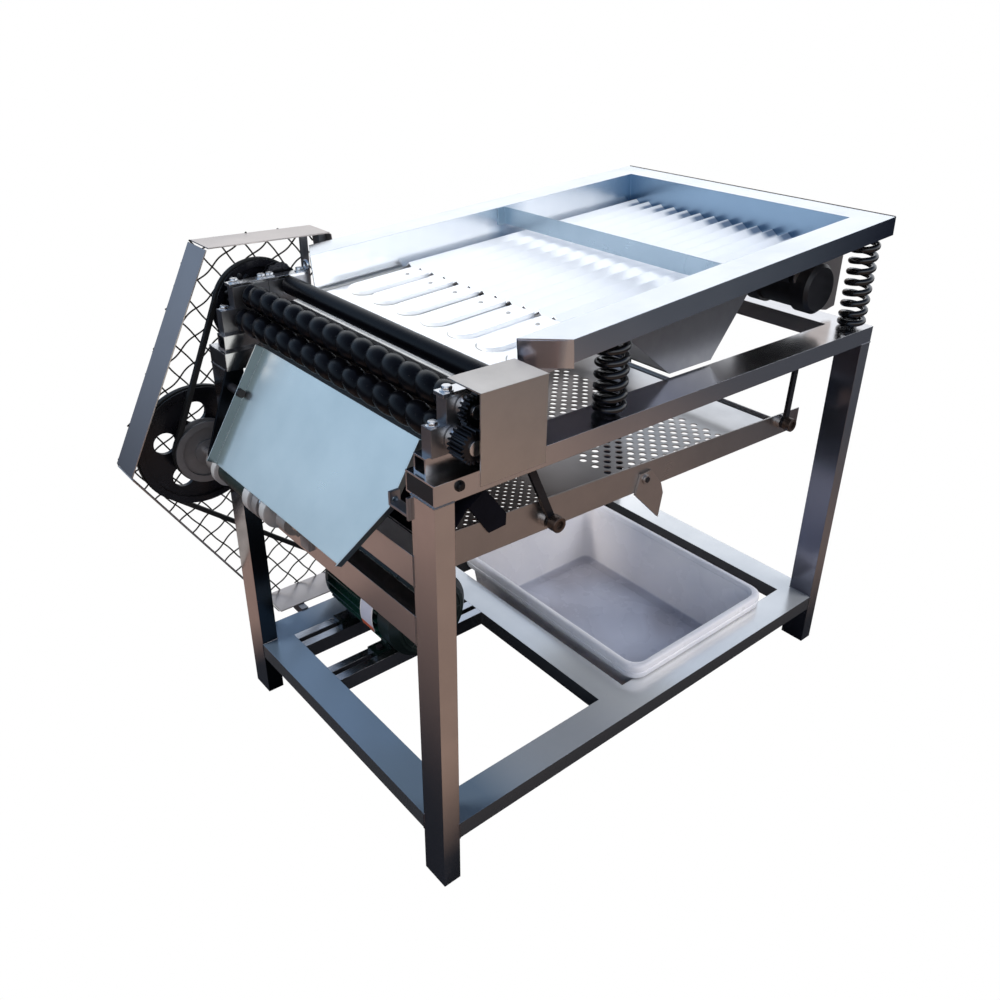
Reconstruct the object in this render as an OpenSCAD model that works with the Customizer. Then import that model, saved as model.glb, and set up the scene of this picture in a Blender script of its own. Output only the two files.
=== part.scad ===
// Electric pea sheller: a sprung feed tray leads the pods to two spiral rubber rollers, the peas
// fall into a swinging perforated sieve, and a motor on the base drives everything through two belts.
// X runs from the roller end to the hopper end, Y from the gear side to the belt side, Z up.
// The origin is at the bottom centre of the whole machine's box. Millimetres.

/* [Frame] */
// Length of the frame, along X
frame_length = 980; // [940:5:1060]
// Width of the frame, along Y
frame_width = 625; // [600:5:700]
// Height of the frame, to the top of the top rails
frame_height = 700; // [690:5:720]
// Leg tube, along X
leg_x = 30; // [26:1:34]
// Leg tube, along Y
leg_y = 50; // [44:1:54]
// Width of the flat rails
rail_w = 60; // [58:1:70]
// Height of the flat rails
rail_h = 30; // [24:1:36]
// Wall of every frame tube
tube_wall = 2.5; // [1.5:0.5:4]
// Thickness of the plate that closes each foot
foot_plate = 4; // [3:1:8]
// Height of the base rails' underside
base_z = 85; // [75:1:95]
// Place of the middle base rail, along X
mid_rail_x = 385; // [360:5:400]
// Underside of the upper cross rail, below the frame's top
upper_cross_down = 170; // [162:1:170]
// Underside of the lower cross rail, below the frame's top
lower_cross_down = 265; // [265:1:280]
// Height of the cross rails at the roller end
cross_h = 48; // [40:1:48]
// Length of the plug in each rail end
plug_depth = 14; // [6:1:25]

/* [Bearings and rollers] */
// Size of the square tube under the bearing blocks
base_tube = 25; // [20:1:28]
// Distance of the square tube from the frame's side
base_tube_in = 25; // [20:1:30]
// Length of the square tube
base_tube_len = 170; // [165:1:185]
// Place of the square tube, along X
base_tube_x = 6; // [2:1:10]
// Thickness of the bearing blocks, along Y
block_t = 20; // [14:1:22]
// Distance of the bearing blocks from the frame's side
block_in = 20; // [19:1:24]
// Height of the lower bearing blocks
lower_block_h = 38; // [37:1:42]
// Height of the upper bearing blocks
upper_block_h = 35; // [33:1:38]
// Thickness of the clamp bars
clamp_t = 5; // [4:1:8]
// Place of the lower spiral roller's axis, along X
lower_x = 47; // [45:0.5:49]
// Radius of the roller and drive shafts
shaft_r = 10; // [8:0.5:10.5]
// Outer radius of the spiral rollers
spiral_r = 19.5; // [17:0.5:19.8]
// Radius of the spiral rollers' rubber cord
spiral_cord_r = 6; // [4:0.5:8]
// Pitch of the spiral
spiral_pitch = 38; // [30:1:50]
// Outer radius of the smooth feed roller
feed_r = 15; // [13:0.5:15.5]
// Gap between the rubber and the bearing blocks
rubber_gap = 8; // [4:1:12]

/* [Fits] */

// Width of the seam between welded pieces
seam = 0.02; // [0.01:0.01:0.05]
// Running clearance of every shaft and pin in its bore, on the radius
run_fit = 0.05; // [0.03:0.01:0.09]
// Clearance of a piece that is fixed on its shaft, on the radius
seat_fit = 0.02; // [0.01:0.01:0.05]

/* [Gears and chain] */
// Module of the gears
gear_module = 2; // [1.8:0.1:2.1]
// Teeth of the roller gears
roller_teeth = 20; // [20:1:21]
// Teeth of the drive gear
drive_teeth = 38; // [36:1:39]
// Thickness of a gear
gear_t = 12; // [8:1:13]
// Backlash of the gears, along the pitch circle
backlash = 0.4; // [0.3:0.05:0.6]
// Pitch of the roller chain
chain_pitch = 12.7; // [11:0.1:13]
// Teeth of the sprockets
sprocket_teeth = 12; // [11:1:13]
// Thickness of the sprockets
sprocket_t = 7; // [4:0.5:8]
// Thickness of the chain's link plates
link_t = 1.3; // [0.8:0.1:2]
// Depth of the gear cover, out of the frame's side
cover_depth = 30; // [28:1:36]
// Thickness of sheet metal
sheet = 2; // [1.2:0.1:3]

/* [Belt drive] */
// Outer radius of the upper belt on the drive shaft's pulley
top_belt_r = 81; // [74:1:82]
// Outer radius of the upper belt on the countershaft
small_belt_r = 58; // [50:1:62]
// Outer radius of the lower belt on the countershaft
big_belt_r = 110; // [100:1:111]
// Outer radius of the lower belt on the motor
motor_belt_r = 41; // [36:1:48]
// Height that the belt stands proud of the pulley rims
belt_proud = 2; // [0:0.5:3]
// Thickness of the belts
belt_h = 8; // [6:0.5:9]
// Width of the belts
belt_w = 8.6; // [7:0.2:10]
// Clearance of the belts in their grooves
belt_fit = 0.4; // [0.3:0.1:0.8]
// Width of the pulleys
pulley_w = 20; // [16:1:21]
// Distance of the upper belt from the frame's far side
upper_belt_out = 25; // [23:1:28]
// Distance between the two belts
belt_gap = 30; // [26:1:32]
// Place of the countershaft in front of the legs, along X
counter_x = -22; // [-24:0.5:-22]
// Depth of the countershaft below the frame's top
counter_down = 195; // [193:1:196]
// Number of round holes in the big pulley
pulley_holes = 5; // [3:1:6]
// Radius of the circle that the big pulley's holes lie on
pulley_hole_at = 62; // [58:1:64]
// Diameter of the holes in the big pulley
pulley_hole_d = 39; // [20:1:44]
// Throw of the eccentric
throw = 3; // [1:0.5:3]
// Radius of the eccentric
eccentric_r = 19.5; // [17:0.5:19.5]
// Wall of the push rod's ring
ring_wall = 8; // [5:0.5:8]

/* [Motor] */
// Place of the motor's axis, along X
motor_x = 228; // [220:1:240]
// Height of the motor's axis over its feet
motor_h = 90; // [88:1:95]
// Radius over the motor's fins
fin_r = 88; // [80:1:89]
// Number of the motor's fins
fins = 28; // [12:2:36]
// Radius of the motor's case, under the fins
case_r = 76; // [68:1:78]
// Length of the motor's case
case_len = 175; // [150:5:190]
// Depth of the motor's end covers
end_cover = 38; // [25:1:42]
// Spacing of the motor's feet, along Y
foot_pitch = 125; // [115:1:128]
// Spacing of the motor's feet, along X
foot_span = 140; // [130:1:150]
// Radius of the motor's shaft
motor_shaft_r = 12; // [10:0.5:14]
// Width of each bar under the motor's feet
slide_bar = 17; // [12:1:17]
// Width of the slot between the bars
slide_slot = 12; // [9:0.5:12]

/* [Belt guard] */
// Distance of the guard's inner edge from the frame's far side
guard_in = 18; // [15:1:21]
// Depth of the guard's rim
guard_depth = 69; // [60:1:80]
// Pitch of the mesh
mesh_pitch = 34; // [25:1:60]
// Width of the mesh wires
mesh_wire = 3; // [2:0.5:5]

/* [Chute] */
// Length of the chute's plate, along its slope
chute_len = 204; // [190:2:210]
// Slope of the chute
chute_slope = 58.6; // [56:0.2:60]
// Distance of the chute from the near side
chute_near = 98; // [90:2:110]
// Distance of the chute from the far side
chute_far = 85; // [75:1:95]
// Height of the chute's upturned side
chute_side = 15; // [8:1:20]
// How much narrower the chute is at its lower edge
chute_cut = 50; // [30:2:60]

/* [Feed tray] */
// Slope of the feed tray
tray_slope = 4.46; // [4.2:0.02:4.8]
// Front end of the tray's rim, along X
tray_front = 165; // [163:1:175]
// Height of the rim's top at that end, above the frame
tray_up = 132; // [128:1:138]
// How far the rim stands past the frame at the hopper end
tray_over = 3; // [0:1:10]
// Width of the rim
rim_w = 55; // [52:1:60]
// Depth of the skirt under the rim
skirt = 32; // [24:1:40]
// Depth of the tray, from the rim to the floor
tray_depth = 62; // [58:1:63]
// Number of ridges in the floor
ridges = 15; // [10:1:20]
// Height of the ridges
ridge_h = 13; // [8:1:15]
// Length of the plain front floor, from its lip to the ridges
plain_len = 262; // [250:1:270]
// How far the lip runs in front of the rim
lip_out = 82; // [80:0.5:83]
// Number of guides on the plain floor
guides = 7; // [5:1:9]
// Length of a guide
guide_len = 140; // [100:5:150]
// Height of a guide
guide_h = 7; // [4:0.5:9]
// Width of a guide
guide_w = 50; // [30:1:52]
// Place of the cross gate, from the front of the rim
gate_at = 415; // [380:5:440]
// Height of the cross gate
gate_h = 32; // [25:1:36]
// Lift of the tray on its springs, each way
tray_lift = 4; // [2:0.5:5]

/* [Springs and vibrator] */
// Outer radius of the springs
spring_r = 25; // [20:0.5:26]
// Radius of the spring wire
spring_wire = 4.75; // [3:0.25:5.5]
// Turns of a front spring
front_turns = 7; // [5:1:9]
// Turns of a rear spring
rear_turns = 9; // [6:1:10]
// Place of the front springs, along X
front_spring_x = 322; // [300:1:340]
// Distance of the rear springs from the hopper end
rear_spring_in = 33; // [32:1:45]
// Thickness of a spring's seat
seat_t = 4; // [2:0.5:8]
// Radius of the vibrator's case
vib_r = 40; // [32:1:41]
// Radius of the vibrator's weight covers
vib_cover_r = 45; // [42:1:46]
// Length of the vibrator's case
vib_len = 70; // [50:1:80]
// Length of each weight cover
vib_cover_len = 34; // [26:1:38]
// Place of the vibrator's axis, along X
vib_x = 885; // [870:1:890]
// Distance of the vibrator from the near side
vib_y = 62; // [61:1:80]

/* [Sieve] */
// Slope of the sieve's floor, down to the hopper end
sieve_slope = 1.5; // [0.5:0.1:2]
// Front end of the sieve, along X
sieve_front = 36; // [34:1:44]
// Distance from the sieve's back end to the frame's
sieve_back = 102; // [94:1:124]
// Depth of the sieve's floor at its front end, below the frame's top
sieve_down = 172; // [168:1:174]
// Height of the sieve's walls at the front
wall_front_h = 56; // [50:1:60]
// Height of the sieve's walls at the back
wall_back_h = 40; // [34:1:46]
// Distance of the sieve's walls from the frame's sides
sieve_in = 60; // [59:0.5:64]
// Diameter of the holes in the sieve's floor
hole_d = 20; // [10:1:24]
// Pitch of the holes in the sieve's floor
hole_pitch = 40; // [36:1:60]
// Width of the blank strip across the sieve's floor
blank_w = 110; // [60:5:120]
// Radius of the link pins
pin_r = 5; // [4:0.5:6]
// Half width of the hanger links
link_half = 9; // [8:0.5:10]
// Thickness of the hanger links
hanger_t = 6; // [4:0.5:7]
// Swing pin of the front links, along X and below the frame's top
front_pin = [190, 44]; // [40:1:250]
// Sieve pin of the front links, along X and below the frame's top
front_bush = [242, 159]; // [150:1:250]
// Swing pin of the rear links, in from the hopper end and below the frame's top
rear_pin = [153.4, 40]; // [36:1:160]
// Sieve pin of the rear links, in from the hopper end and below the frame's top
rear_bush = [160, 165]; // [150:1:180]

/* [Tub] */
// Length of the tub's rim, along X
tub_l = 390; // [340:5:410]
// Width of the tub's rim, along Y
tub_w = 515; // [490:5:520]
// Height of the tub
tub_h = 145; // [140:1:170]
// Height of the tub's rim band
tub_band = 27; // [20:1:28]
// Wall of the tub
tub_wall = 3; // [2:0.5:5]
// How much narrower the tub's foot is, on each side
tub_taper = 25; // [22:1:30]
// Place of the tub's rim, from the middle base rail
tub_gap = 18; // [10:1:40]

/* [Hidden] */
$fn = 64;

touch = 0.3;            // gap between pieces that move past each other
bolt_r = 4;             // radius of the machine bolts
head_r = 7;             // radius over the bolt heads
head_t = 5;             // height of the bolt heads

// Frame
top_z = frame_height - rail_h;
base_top = base_z + rail_h;
far = frame_width;
upper_cross_z = frame_height - upper_cross_down;
lower_cross_z = frame_height - lower_cross_down;
counter_z = frame_height - counter_down;
tray_z = frame_height + tray_up;
sieve_z = frame_height - sieve_down;
slide_w = 2 * slide_bar + slide_slot;

// Bearing stack, from the top rail up
tube_top = frame_height + base_tube;
split_z = tube_top + lower_block_h;
stack_top = split_z + upper_block_h;
rubber_y0 = block_in + block_t + rubber_gap;
rubber_y1 = far - rubber_y0;

// Gear train: the drive gear turns the lower roller, which turns the upper one
roller_pitch_r = gear_module * roller_teeth / 2;
drive_pitch_r = gear_module * drive_teeth / 2;
drive_angle = -3.95;
pair_angle = 65.7;
lower_z = tube_top + lower_block_h / 2 + 1;
lower_axis = [lower_x, lower_z];
drive_axis = lower_axis + (roller_pitch_r + drive_pitch_r) * [cos(drive_angle), sin(drive_angle)];
upper_axis = lower_axis + 2 * roller_pitch_r * [cos(pair_angle), sin(pair_angle)];
feed_axis = upper_axis + [66.6, 6.5];
counter_axis = [counter_x, counter_z];
motor_axis = [motor_x, base_top + motor_h];
gear_gap = 4;
drive_gear_y = -(cover_depth - 10);
inner_gear_y = drive_gear_y + gear_t + gear_gap;
lower_phase = drive_angle;
drive_phase = mate_phase(drive_angle, lower_phase, roller_teeth, drive_teeth);
upper_phase = mate_phase(pair_angle, lower_phase, roller_teeth, roller_teeth);

// Chain on the far side
sprocket_y = far - 7;
chain_r = chain_pitch / (2 * sin(180 / sprocket_teeth));
chain_half = 3.8;

// Belts, on the far side
upper_belt_y = far + upper_belt_out;
lower_belt_y = upper_belt_y + belt_gap;

// Belt guard outline in XZ, set out from the frame's far corner
guard_low = base_z + rail_h + 3;
guard_outline = [[25, frame_height + 150], [-156, counter_z - 12], [71, guard_low],
    [motor_x + 92, guard_low], [250, frame_height + 146]];
guard_y0 = far + guard_in;
guard_y1 = guard_y0 + guard_depth;

// Whole machine, from the guard to the tray and from the gear cover to the mesh
tray_len = (frame_length + tray_over - tray_front - skirt * sin(tray_slope)) / cos(tray_slope);
low_corner = [guard_outline[1][0], -cover_depth];
high_corner = [frame_length + tray_over, guard_y1 + mesh_wire];
middle = (low_corner + high_corner) / 2;

// Feed tray, in its own sloping frame: u along the floor, v up from the rim
floor_y0 = rim_w;
floor_y1 = far - rim_w;
tray_width = floor_y1 - floor_y0;
ridge_pitch = tray_width / ridges;
guide_pitch = tray_width / (guides + 0.5);

// Sieve
sieve_y0 = sieve_in;
sieve_y1 = far - sieve_in;
hanger_y = sieve_y0 - 14;
sieve_len = frame_length - sieve_back - sieve_front;
front_top = [front_pin[0], frame_height - front_pin[1]];
front_low = [front_bush[0], frame_height - front_bush[1]];
rear_top = [frame_length - rear_pin[0], frame_height - rear_pin[1]];
rear_low = [frame_length - rear_bush[0], frame_height - rear_bush[1]];
push_y = far - 210;
push_x = sieve_front + 26;
push_pin_z = counter_z + 2;
flap_pin = [mid_rail_x + rail_w + 6, sieve_z + 10];
blank_at = 350;
blank_end = 130;

// Tub
tub_x = mid_rail_x + rail_w + tub_gap;
tub_y = (far - tub_w) / 2 - 7.5;
tub_over = rail_w + 1.5 - tub_y;

function mate_phase(line, phase, teeth, mate) =
    line + 180 - (phase - line) * teeth / mate - 180 / mate;
function involute(a) = tan(a) * 180 / PI - a;
function polar(r, a) = [r * cos(a), r * sin(a)];

// Draws in the machine's own frame, measured from the foot of the near leg at the roller end
module placed() translate([-middle[0], -middle[1], 0]) children();

// Extrudes a shape drawn in XZ from y0 to y1
module across(y0, y1) translate([0, y1, 0]) rotate([90, 0, 0]) linear_extrude(y1 - y0) children();

// Round bar along Y
module bar(axis, r, y0, y1) across(y0, y1) translate(axis) circle(r);

// Turned piece about an axis along Y, from a profile of [radius, y]
module turned(axis, y0) translate([axis[0], y0, axis[1]]) rotate([-90, 0, 0])
    rotate_extrude() children();

// Draws a piece at the near side and its mirror image at the far side
module both_sides() {
    children();
    translate([0, far, 0]) mirror([0, 1, 0]) children();
}

// Rectangular tube along X, Y or Z, open at both ends
module tube(size, along) {
    open = [for (i = [0:2]) i == along ? size[i] + 2 : size[i] - 2 * tube_wall];
    shift = [for (i = [0:2]) i == along ? -1 : tube_wall];
    difference() {
        cube(size);
        translate(shift) cube(open);
    }
}

// Spur gear outline with involute flanks
module gear_outline(teeth, phase) {
    pitch_r = gear_module * teeth / 2;
    base_r = pitch_r * cos(20);
    root_r = pitch_r - 1.25 * gear_module;
    tip_r = pitch_r + 0.95 * gear_module;
    half = 90 / teeth - backlash / pitch_r * 45 / PI + involute(20);
    radii = [root_r, max(base_r, root_r + 0.1), (base_r + pitch_r) / 2, pitch_r,
        (pitch_r + tip_r) / 2, tip_r];
    flank = [for (r = radii) [r, half - involute(acos(min(1, base_r / r)))]];
    polygon([for (i = [0:teeth - 1]) let (a = phase + i * 360 / teeth)
        each concat([for (p = flank) polar(p[0], a - p[1])],
            [for (k = [len(flank) - 1:-1:0]) polar(flank[k][0], a + flank[k][1])])]);
}

// Region inside a belt or chain that runs round two circles
module loop_region(a, ra, b, rb) {
    d = b - a;
    dist = norm(d);
    dir = atan2(d[1], d[0]);
    lean = acos((ra - rb) / dist);
    translate(a) circle(ra, $fn = 128);
    translate(b) circle(rb, $fn = 128);
    polygon([a + polar(ra, dir + lean), a + polar(ra, dir - lean),
        b + polar(rb, dir - lean), b + polar(rb, dir + lean)]);
}

// Closed loop of a given thickness round two circles, from y0 to y1
module loop(a, ra, b, rb, thick, y0, y1) across(y0, y1) difference() {
    loop_region(a, ra, b, rb);
    loop_region(a, ra - thick, b, rb - thick);
}

top_hub_r = 20;
small_hub_r = 22;
big_hub_r = 24;
top_web = 7;
pulley_web = 8;

// Grooved pulley for a belt of outer radius r, with its bore and hub
module pulley(axis, r, y, bore, hub_r, web) {
    rim = r - belt_proud;
    groove = belt_w / 2 + belt_fit;
    floor_r = r - belt_h - belt_fit;
    wide = groove + 1.6;
    h = pulley_w / 2;
    inner = floor_r - 5;
    w = web / 2;
    turned(axis, y) polygon(inner > hub_r + 4
        ? [[bore, -h], [hub_r, -h], [hub_r, -w], [inner, -w], [inner, -h], [rim, -h],
            [rim, -wide], [floor_r, -groove], [floor_r, groove], [rim, wide], [rim, h],
            [inner, h], [inner, w], [hub_r, w], [hub_r, h], [bore, h]]
        : [[bore, -h], [rim, -h], [rim, -wide], [floor_r, -groove], [floor_r, groove],
            [rim, wide], [rim, h], [bore, h]]);
}

// Hexagon bolt with its head up, standing at the origin with a shank below
module bolt(shank) {
    cylinder(r = head_r, h = head_t, $fn = 6);
    translate([0, 0, -shank]) cylinder(r = bolt_r, h = shank);
}

// ---- Frame ----

module legs() color([0.62, 0.58, 0.54]) placed()
    for (x = [0, frame_length - leg_x]) for (y = [0, far - leg_y]) translate([x, y, 0])
        difference() {
            cube([leg_x, leg_y, top_z]);
            translate([tube_wall, tube_wall, foot_plate])
                cube([leg_x - 2 * tube_wall, leg_y - 2 * tube_wall, top_z]);
        }

module top_rails() color([0.62, 0.58, 0.54]) placed() {
    both_sides() translate([0, 0, top_z]) tube([frame_length, rail_w, rail_h], 0);
    translate([frame_length - rail_w, rail_w + seam, top_z])
        tube([rail_w, far - 2 * (rail_w + seam), rail_h], 1);
}

module cross_rails() color([0.62, 0.58, 0.54]) placed()
    for (z = [lower_cross_z, upper_cross_z]) translate([0, leg_y, z])
        tube([leg_x, far - 2 * leg_y, cross_h], 1);

module base_rails() color([0.55, 0.6, 0.68]) placed() {
    both_sides() translate([leg_x, 0, base_z])
        tube([frame_length - 2 * leg_x, rail_w, rail_h], 0);
    base_end_rail();
    translate([frame_length, 0, 0]) mirror([1, 0, 0]) base_end_rail();
    translate([mid_rail_x, rail_w + seam, base_z])
        tube([rail_w, far - 2 * (rail_w + seam), rail_h], 1);
}

// Base rail across one end, coped round the side rails
module base_end_rail() difference() {
    translate([0, leg_y, base_z]) tube([rail_w, far - 2 * leg_y, rail_h], 1);
    both_sides() translate([leg_x - seam, -1, base_z - 1])
        cube([rail_w, rail_w + 1 + seam, rail_h + 2]);
}

module rail_plugs() color([0.05, 0.05, 0.06]) placed()
    both_sides() for (x = [0, frame_length - plug_depth])
        translate([x, tube_wall + seat_fit, top_z + tube_wall + seat_fit])
            cube([plug_depth, rail_w - 2 * (tube_wall + seat_fit),
                rail_h - 2 * (tube_wall + seat_fit)]);

module motor_rails() color([0.5, 0.5, 0.5]) placed()
    for (y = [motor_foot_y(0), motor_foot_y(1)])
        for (dy = [-slide_w / 2, slide_slot / 2])
            translate([rail_w, y + dy, base_z]) cube([mid_rail_x - rail_w, slide_bar, rail_h]);

function motor_foot_y(i) = far - rail_w - slide_w / 2 - (1 - i) * foot_pitch;

// ---- Bearing stacks ----

module bearing_tubes() color([0.6, 0.6, 0.6]) placed() both_sides()
    translate([base_tube_x, base_tube_in, frame_height]) tube([base_tube_len, base_tube, base_tube], 0);

// One bearing block drawn as its XZ outline, with a bore, at both sides
module block(x0, x1, z0, z1, axis, holes = []) both_sides() difference() {
    across(block_in, block_in + block_t) difference() {
        translate([x0, z0]) square([x1 - x0, z1 - z0]);
        translate(axis) circle(shaft_r + run_fit);
    }
    for (x = holes) translate([x, block_in + block_t / 2, z1 - 14])
        cylinder(r = bolt_r + seat_fit, h = 20);
}

block_end = base_tube_x + base_tube_len - 8;
lower_block = [lower_x - 35, (lower_axis[0] + drive_axis[0]) / 2 - touch];
drive_block = [lower_block[1] + 2 * touch, block_end];
upper_block = [lower_x - 12, (upper_axis[0] + feed_axis[0]) / 2 - touch];
feed_block = [upper_block[1] + 2 * touch, block_end];
top_bolts = [upper_block[0] + 8, upper_block[1] - 7, feed_block[0] + 7, feed_block[1] - 9];
front_bolt = (lower_block[0] + upper_block[0]) / 2 - 2;

module lower_blocks() color([0.55, 0.52, 0.5]) placed() {
    block(lower_block[0], lower_block[1], tube_top, split_z, lower_axis, [front_bolt]);
    block(drive_block[0], drive_block[1], tube_top, split_z, drive_axis);
}

module upper_blocks() color([0.55, 0.52, 0.5]) placed() {
    block(upper_block[0], upper_block[1], split_z, stack_top, upper_axis,
        [top_bolts[0], top_bolts[1]]);
    block(feed_block[0], feed_block[1], split_z, stack_top, feed_axis,
        [top_bolts[2], top_bolts[3]]);
}

module clamp_bars() color([0.85, 0.85, 0.85]) placed() both_sides() difference() {
    translate([upper_block[0] - 4, block_in, stack_top])
        cube([feed_block[1] - upper_block[0] + 4, block_t, clamp_t]);
    for (x = top_bolts) translate([x, block_in + block_t / 2, stack_top - 1])
        cylinder(r = bolt_r + seat_fit, h = clamp_t + 2);
}

module clamp_bolts() color([0.8, 0.8, 0.8]) placed() {
    y = block_in + block_t / 2;
    both_sides() {
        for (x = top_bolts) translate([x, y, stack_top + clamp_t]) bolt(clamp_t + 10);
        translate([front_bolt, y, split_z]) bolt(12);
    }
    translate([feed_block[1] + 3.5, far - y, tube_top]) eye_bolt();
}

// Eye bolt that stands on the far square tube, beside the blocks
module eye_bolt() {
    ring = 7;
    rise = stack_top - tube_top + 6;
    cylinder(r = bolt_r - 1, h = rise);
    translate([0, 0, rise + ring]) rotate([0, 90, 0]) rotate_extrude()
        translate([ring, 0]) circle(2.4, $fn = 24);
}

// ---- Gears, chain and their cover ----

cover_x = [lower_x, lower_x + 104];
cover_z = [frame_height - 3, stack_top + clamp_t + 14];

// Folded sheet: a front plate and a top plate that reaches back over the clamp bar
module gear_cover() color([0.6, 0.53, 0.47]) placed() {
    translate([cover_x[0], -cover_depth, cover_z[0]])
        cube([cover_x[1] - cover_x[0], sheet, cover_z[1] - cover_z[0]]);
    translate([cover_x[0], -cover_depth + sheet, cover_z[1] - sheet])
        cube([cover_x[1] - cover_x[0], cover_depth + block_in + 12, sheet]);
    translate([cover_x[1] - sheet, -cover_depth + sheet, frame_height])
        cube([sheet, cover_depth + block_in - sheet, cover_z[1] - sheet - frame_height]);
    // tab that stands on the clamp bar
    translate([cover_x[1] - 26, block_in, stack_top + clamp_t])
        cube([12, block_t - 8, cover_z[1] - sheet - stack_top - clamp_t]);
}

module roller_chain() color([0.2, 0.2, 0.2]) placed()
    for (side = [-1, 1]) {
        y = sprocket_y + side * (sprocket_t / 2 + touch + link_t / 2);
        loop(upper_axis, chain_r + chain_half, feed_axis, chain_r + chain_half,
            2 * chain_half, y - link_t / 2, y + link_t / 2);
    }

// Toothed chain wheel with its hub towards the bearing block
module sprocket(axis, phase) {
    y0 = sprocket_y - sprocket_t / 2;
    root = chain_r - chain_pitch * 0.31;
    tip = chain_r + chain_pitch * 0.2;
    step = 360 / sprocket_teeth;
    across(y0, y0 + sprocket_t) translate(axis) difference() {
        polygon([for (i = [0:sprocket_teeth - 1]) let (a = phase + i * step)
            each [polar(root, a - 0.36 * step), polar(tip, a - 0.12 * step),
                polar(tip, a + 0.12 * step), polar(root, a + 0.36 * step)]]);
        circle(shaft_r + seat_fit);
    }
}

module gear(axis, teeth, phase, y0, y1) across(y0, y1) translate(axis) difference() {
    gear_outline(teeth, phase);
    circle(shaft_r + seat_fit);
}

// ---- Chute ----

chute_low = [-50, upper_cross_z + 2];
chute_y = [chute_near, far - chute_far];

// Sheet drawn flat and tipped up to the slope: s runs up the plate from its lower edge
module sloped() translate([chute_low[0], 0, chute_low[1]]) rotate([0, -chute_slope, 0]) children();

module chute() color([0.68, 0.79, 0.87]) placed() difference() {
    chute_sheet();
    bar(chute_bolt, bolt_r + seat_fit, chute_y[1] - 10, chute_y[1] + 10);
}

// Plate with its near corner cut off at the lower edge, and its upturned sides
module chute_sheet() sloped() {
    cut_len = 0.53 * chute_len;
    near = [[0, chute_y[0] + chute_cut], [cut_len, chute_y[0]], [chute_len, chute_y[0]]];
    linear_extrude(sheet) polygon(concat([[0, chute_y[1]]], near, [[chute_len, chute_y[1]]]));
    linear_extrude(sheet + chute_side / 2)
        polygon(concat(near, [for (i = [2, 1, 0]) near[i] + [0, sheet]]));
    translate([0, chute_y[1] - sheet, 0]) cube([chute_len, sheet, sheet + chute_side]);
}

bolt_up = 0.6 * chute_len;
bolt_out = sheet + head_r + 1;
chute_bolt = [chute_low[0] + bolt_up * cos(chute_slope) - bolt_out * sin(chute_slope),
    chute_low[1] + bolt_up * sin(chute_slope) + bolt_out * cos(chute_slope)];

cheek_out = 48;         // front edge of the cheek plate, ahead of the legs

// Cheek plate beside the far leg and the strap beside the near leg
module chute_brackets() color([0.45, 0.46, 0.5]) placed() {
    cheek_y = far - leg_y;
    across(cheek_y - 2 * sheet, cheek_y) difference() {
        polygon([[-touch, upper_cross_z], [-touch, upper_cross_z + cross_h + touch],
            [leg_x, upper_cross_z + cross_h + touch], [leg_x, top_z - 2],
            [0, top_z - 2], [-cheek_out, counter_z + 30], [-cheek_out, upper_cross_z]]);
        translate(chute_bolt) circle(bolt_r + seat_fit);
    }
    difference() {
        union() {
            across(leg_y, leg_y + 2 * sheet) translate(chute_bolt + [-10, -10]) square([26, 32]);
            across(leg_y + 2 * sheet, chute_y[0] - touch) translate(chute_bolt + [-8, -8])
                square([16, 2 * sheet]);
            across(chute_y[0] - touch - 2 * sheet, chute_y[0] - touch)
                translate(chute_bolt + [-8, -8 + 2 * sheet]) square([16, 16]);
        }
        bar(chute_bolt, bolt_r + seat_fit, leg_y + 3 * sheet, chute_y[0] + 1);
    }
}

module frame_bolts() color([0.08, 0.08, 0.09]) placed() {
    // spacer and bolt from the cheek plate to the chute's far side
    across(chute_y[1] + touch, far - leg_y - 2 * sheet) translate(chute_bolt) difference() {
        circle(head_r);
        circle(bolt_r + seat_fit);
    }
    bar(chute_bolt, head_r, chute_y[1] - sheet - head_t, chute_y[1] - sheet - seam);
    bar(chute_bolt, bolt_r, chute_y[1] - sheet - head_t, far - leg_y - seam);
    // motor feet bolts, down into the slots
    for (y = [motor_foot_y(0), motor_foot_y(1)]) for (dx = [-foot_span / 2, foot_span / 2])
        translate([motor_x + dx, y, base_top + foot_t]) bolt(foot_t + rail_h - 4);
}

// ---- Countershaft bearings ----

inner_bearing_gap = 85;
bearing_y = [push_y - inner_bearing_gap, far - leg_y / 2 - block_t];
bearing_half = 24;

module countershaft_bearings() color([0.3, 0.3, 0.32]) placed() for (y = bearing_y) {
    across(y, y + block_t + 6) difference() {
        union() {
            translate(counter_axis) circle(bearing_half - 4);
            translate([counter_x, counter_z - bearing_half]) square([-counter_x, 2 * bearing_half]);
        }
        translate(counter_axis) circle(shaft_r + run_fit);
    }
    // base plate that lies on the legs' and cross rails' front faces
    translate([-6, y, lower_cross_z + 12])
        cube([6, block_t + 6, counter_z - bearing_half - lower_cross_z - 12]);
    translate([-6, y, counter_z + bearing_half])
        cube([6, block_t + 6, upper_cross_z + cross_h - 12 - counter_z - bearing_half]);
}

// ---- Belts ----

module upper_belt() color([0.04, 0.04, 0.05]) placed()
    loop(drive_axis, top_belt_r, counter_axis, small_belt_r, belt_h,
        upper_belt_y - belt_w / 2, upper_belt_y + belt_w / 2);

module lower_belt() color([0.04, 0.04, 0.05]) placed()
    loop(counter_axis, big_belt_r, motor_axis, motor_belt_r, belt_h,
        lower_belt_y - belt_w / 2, lower_belt_y + belt_w / 2);

// ---- Belt guard ----

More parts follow.
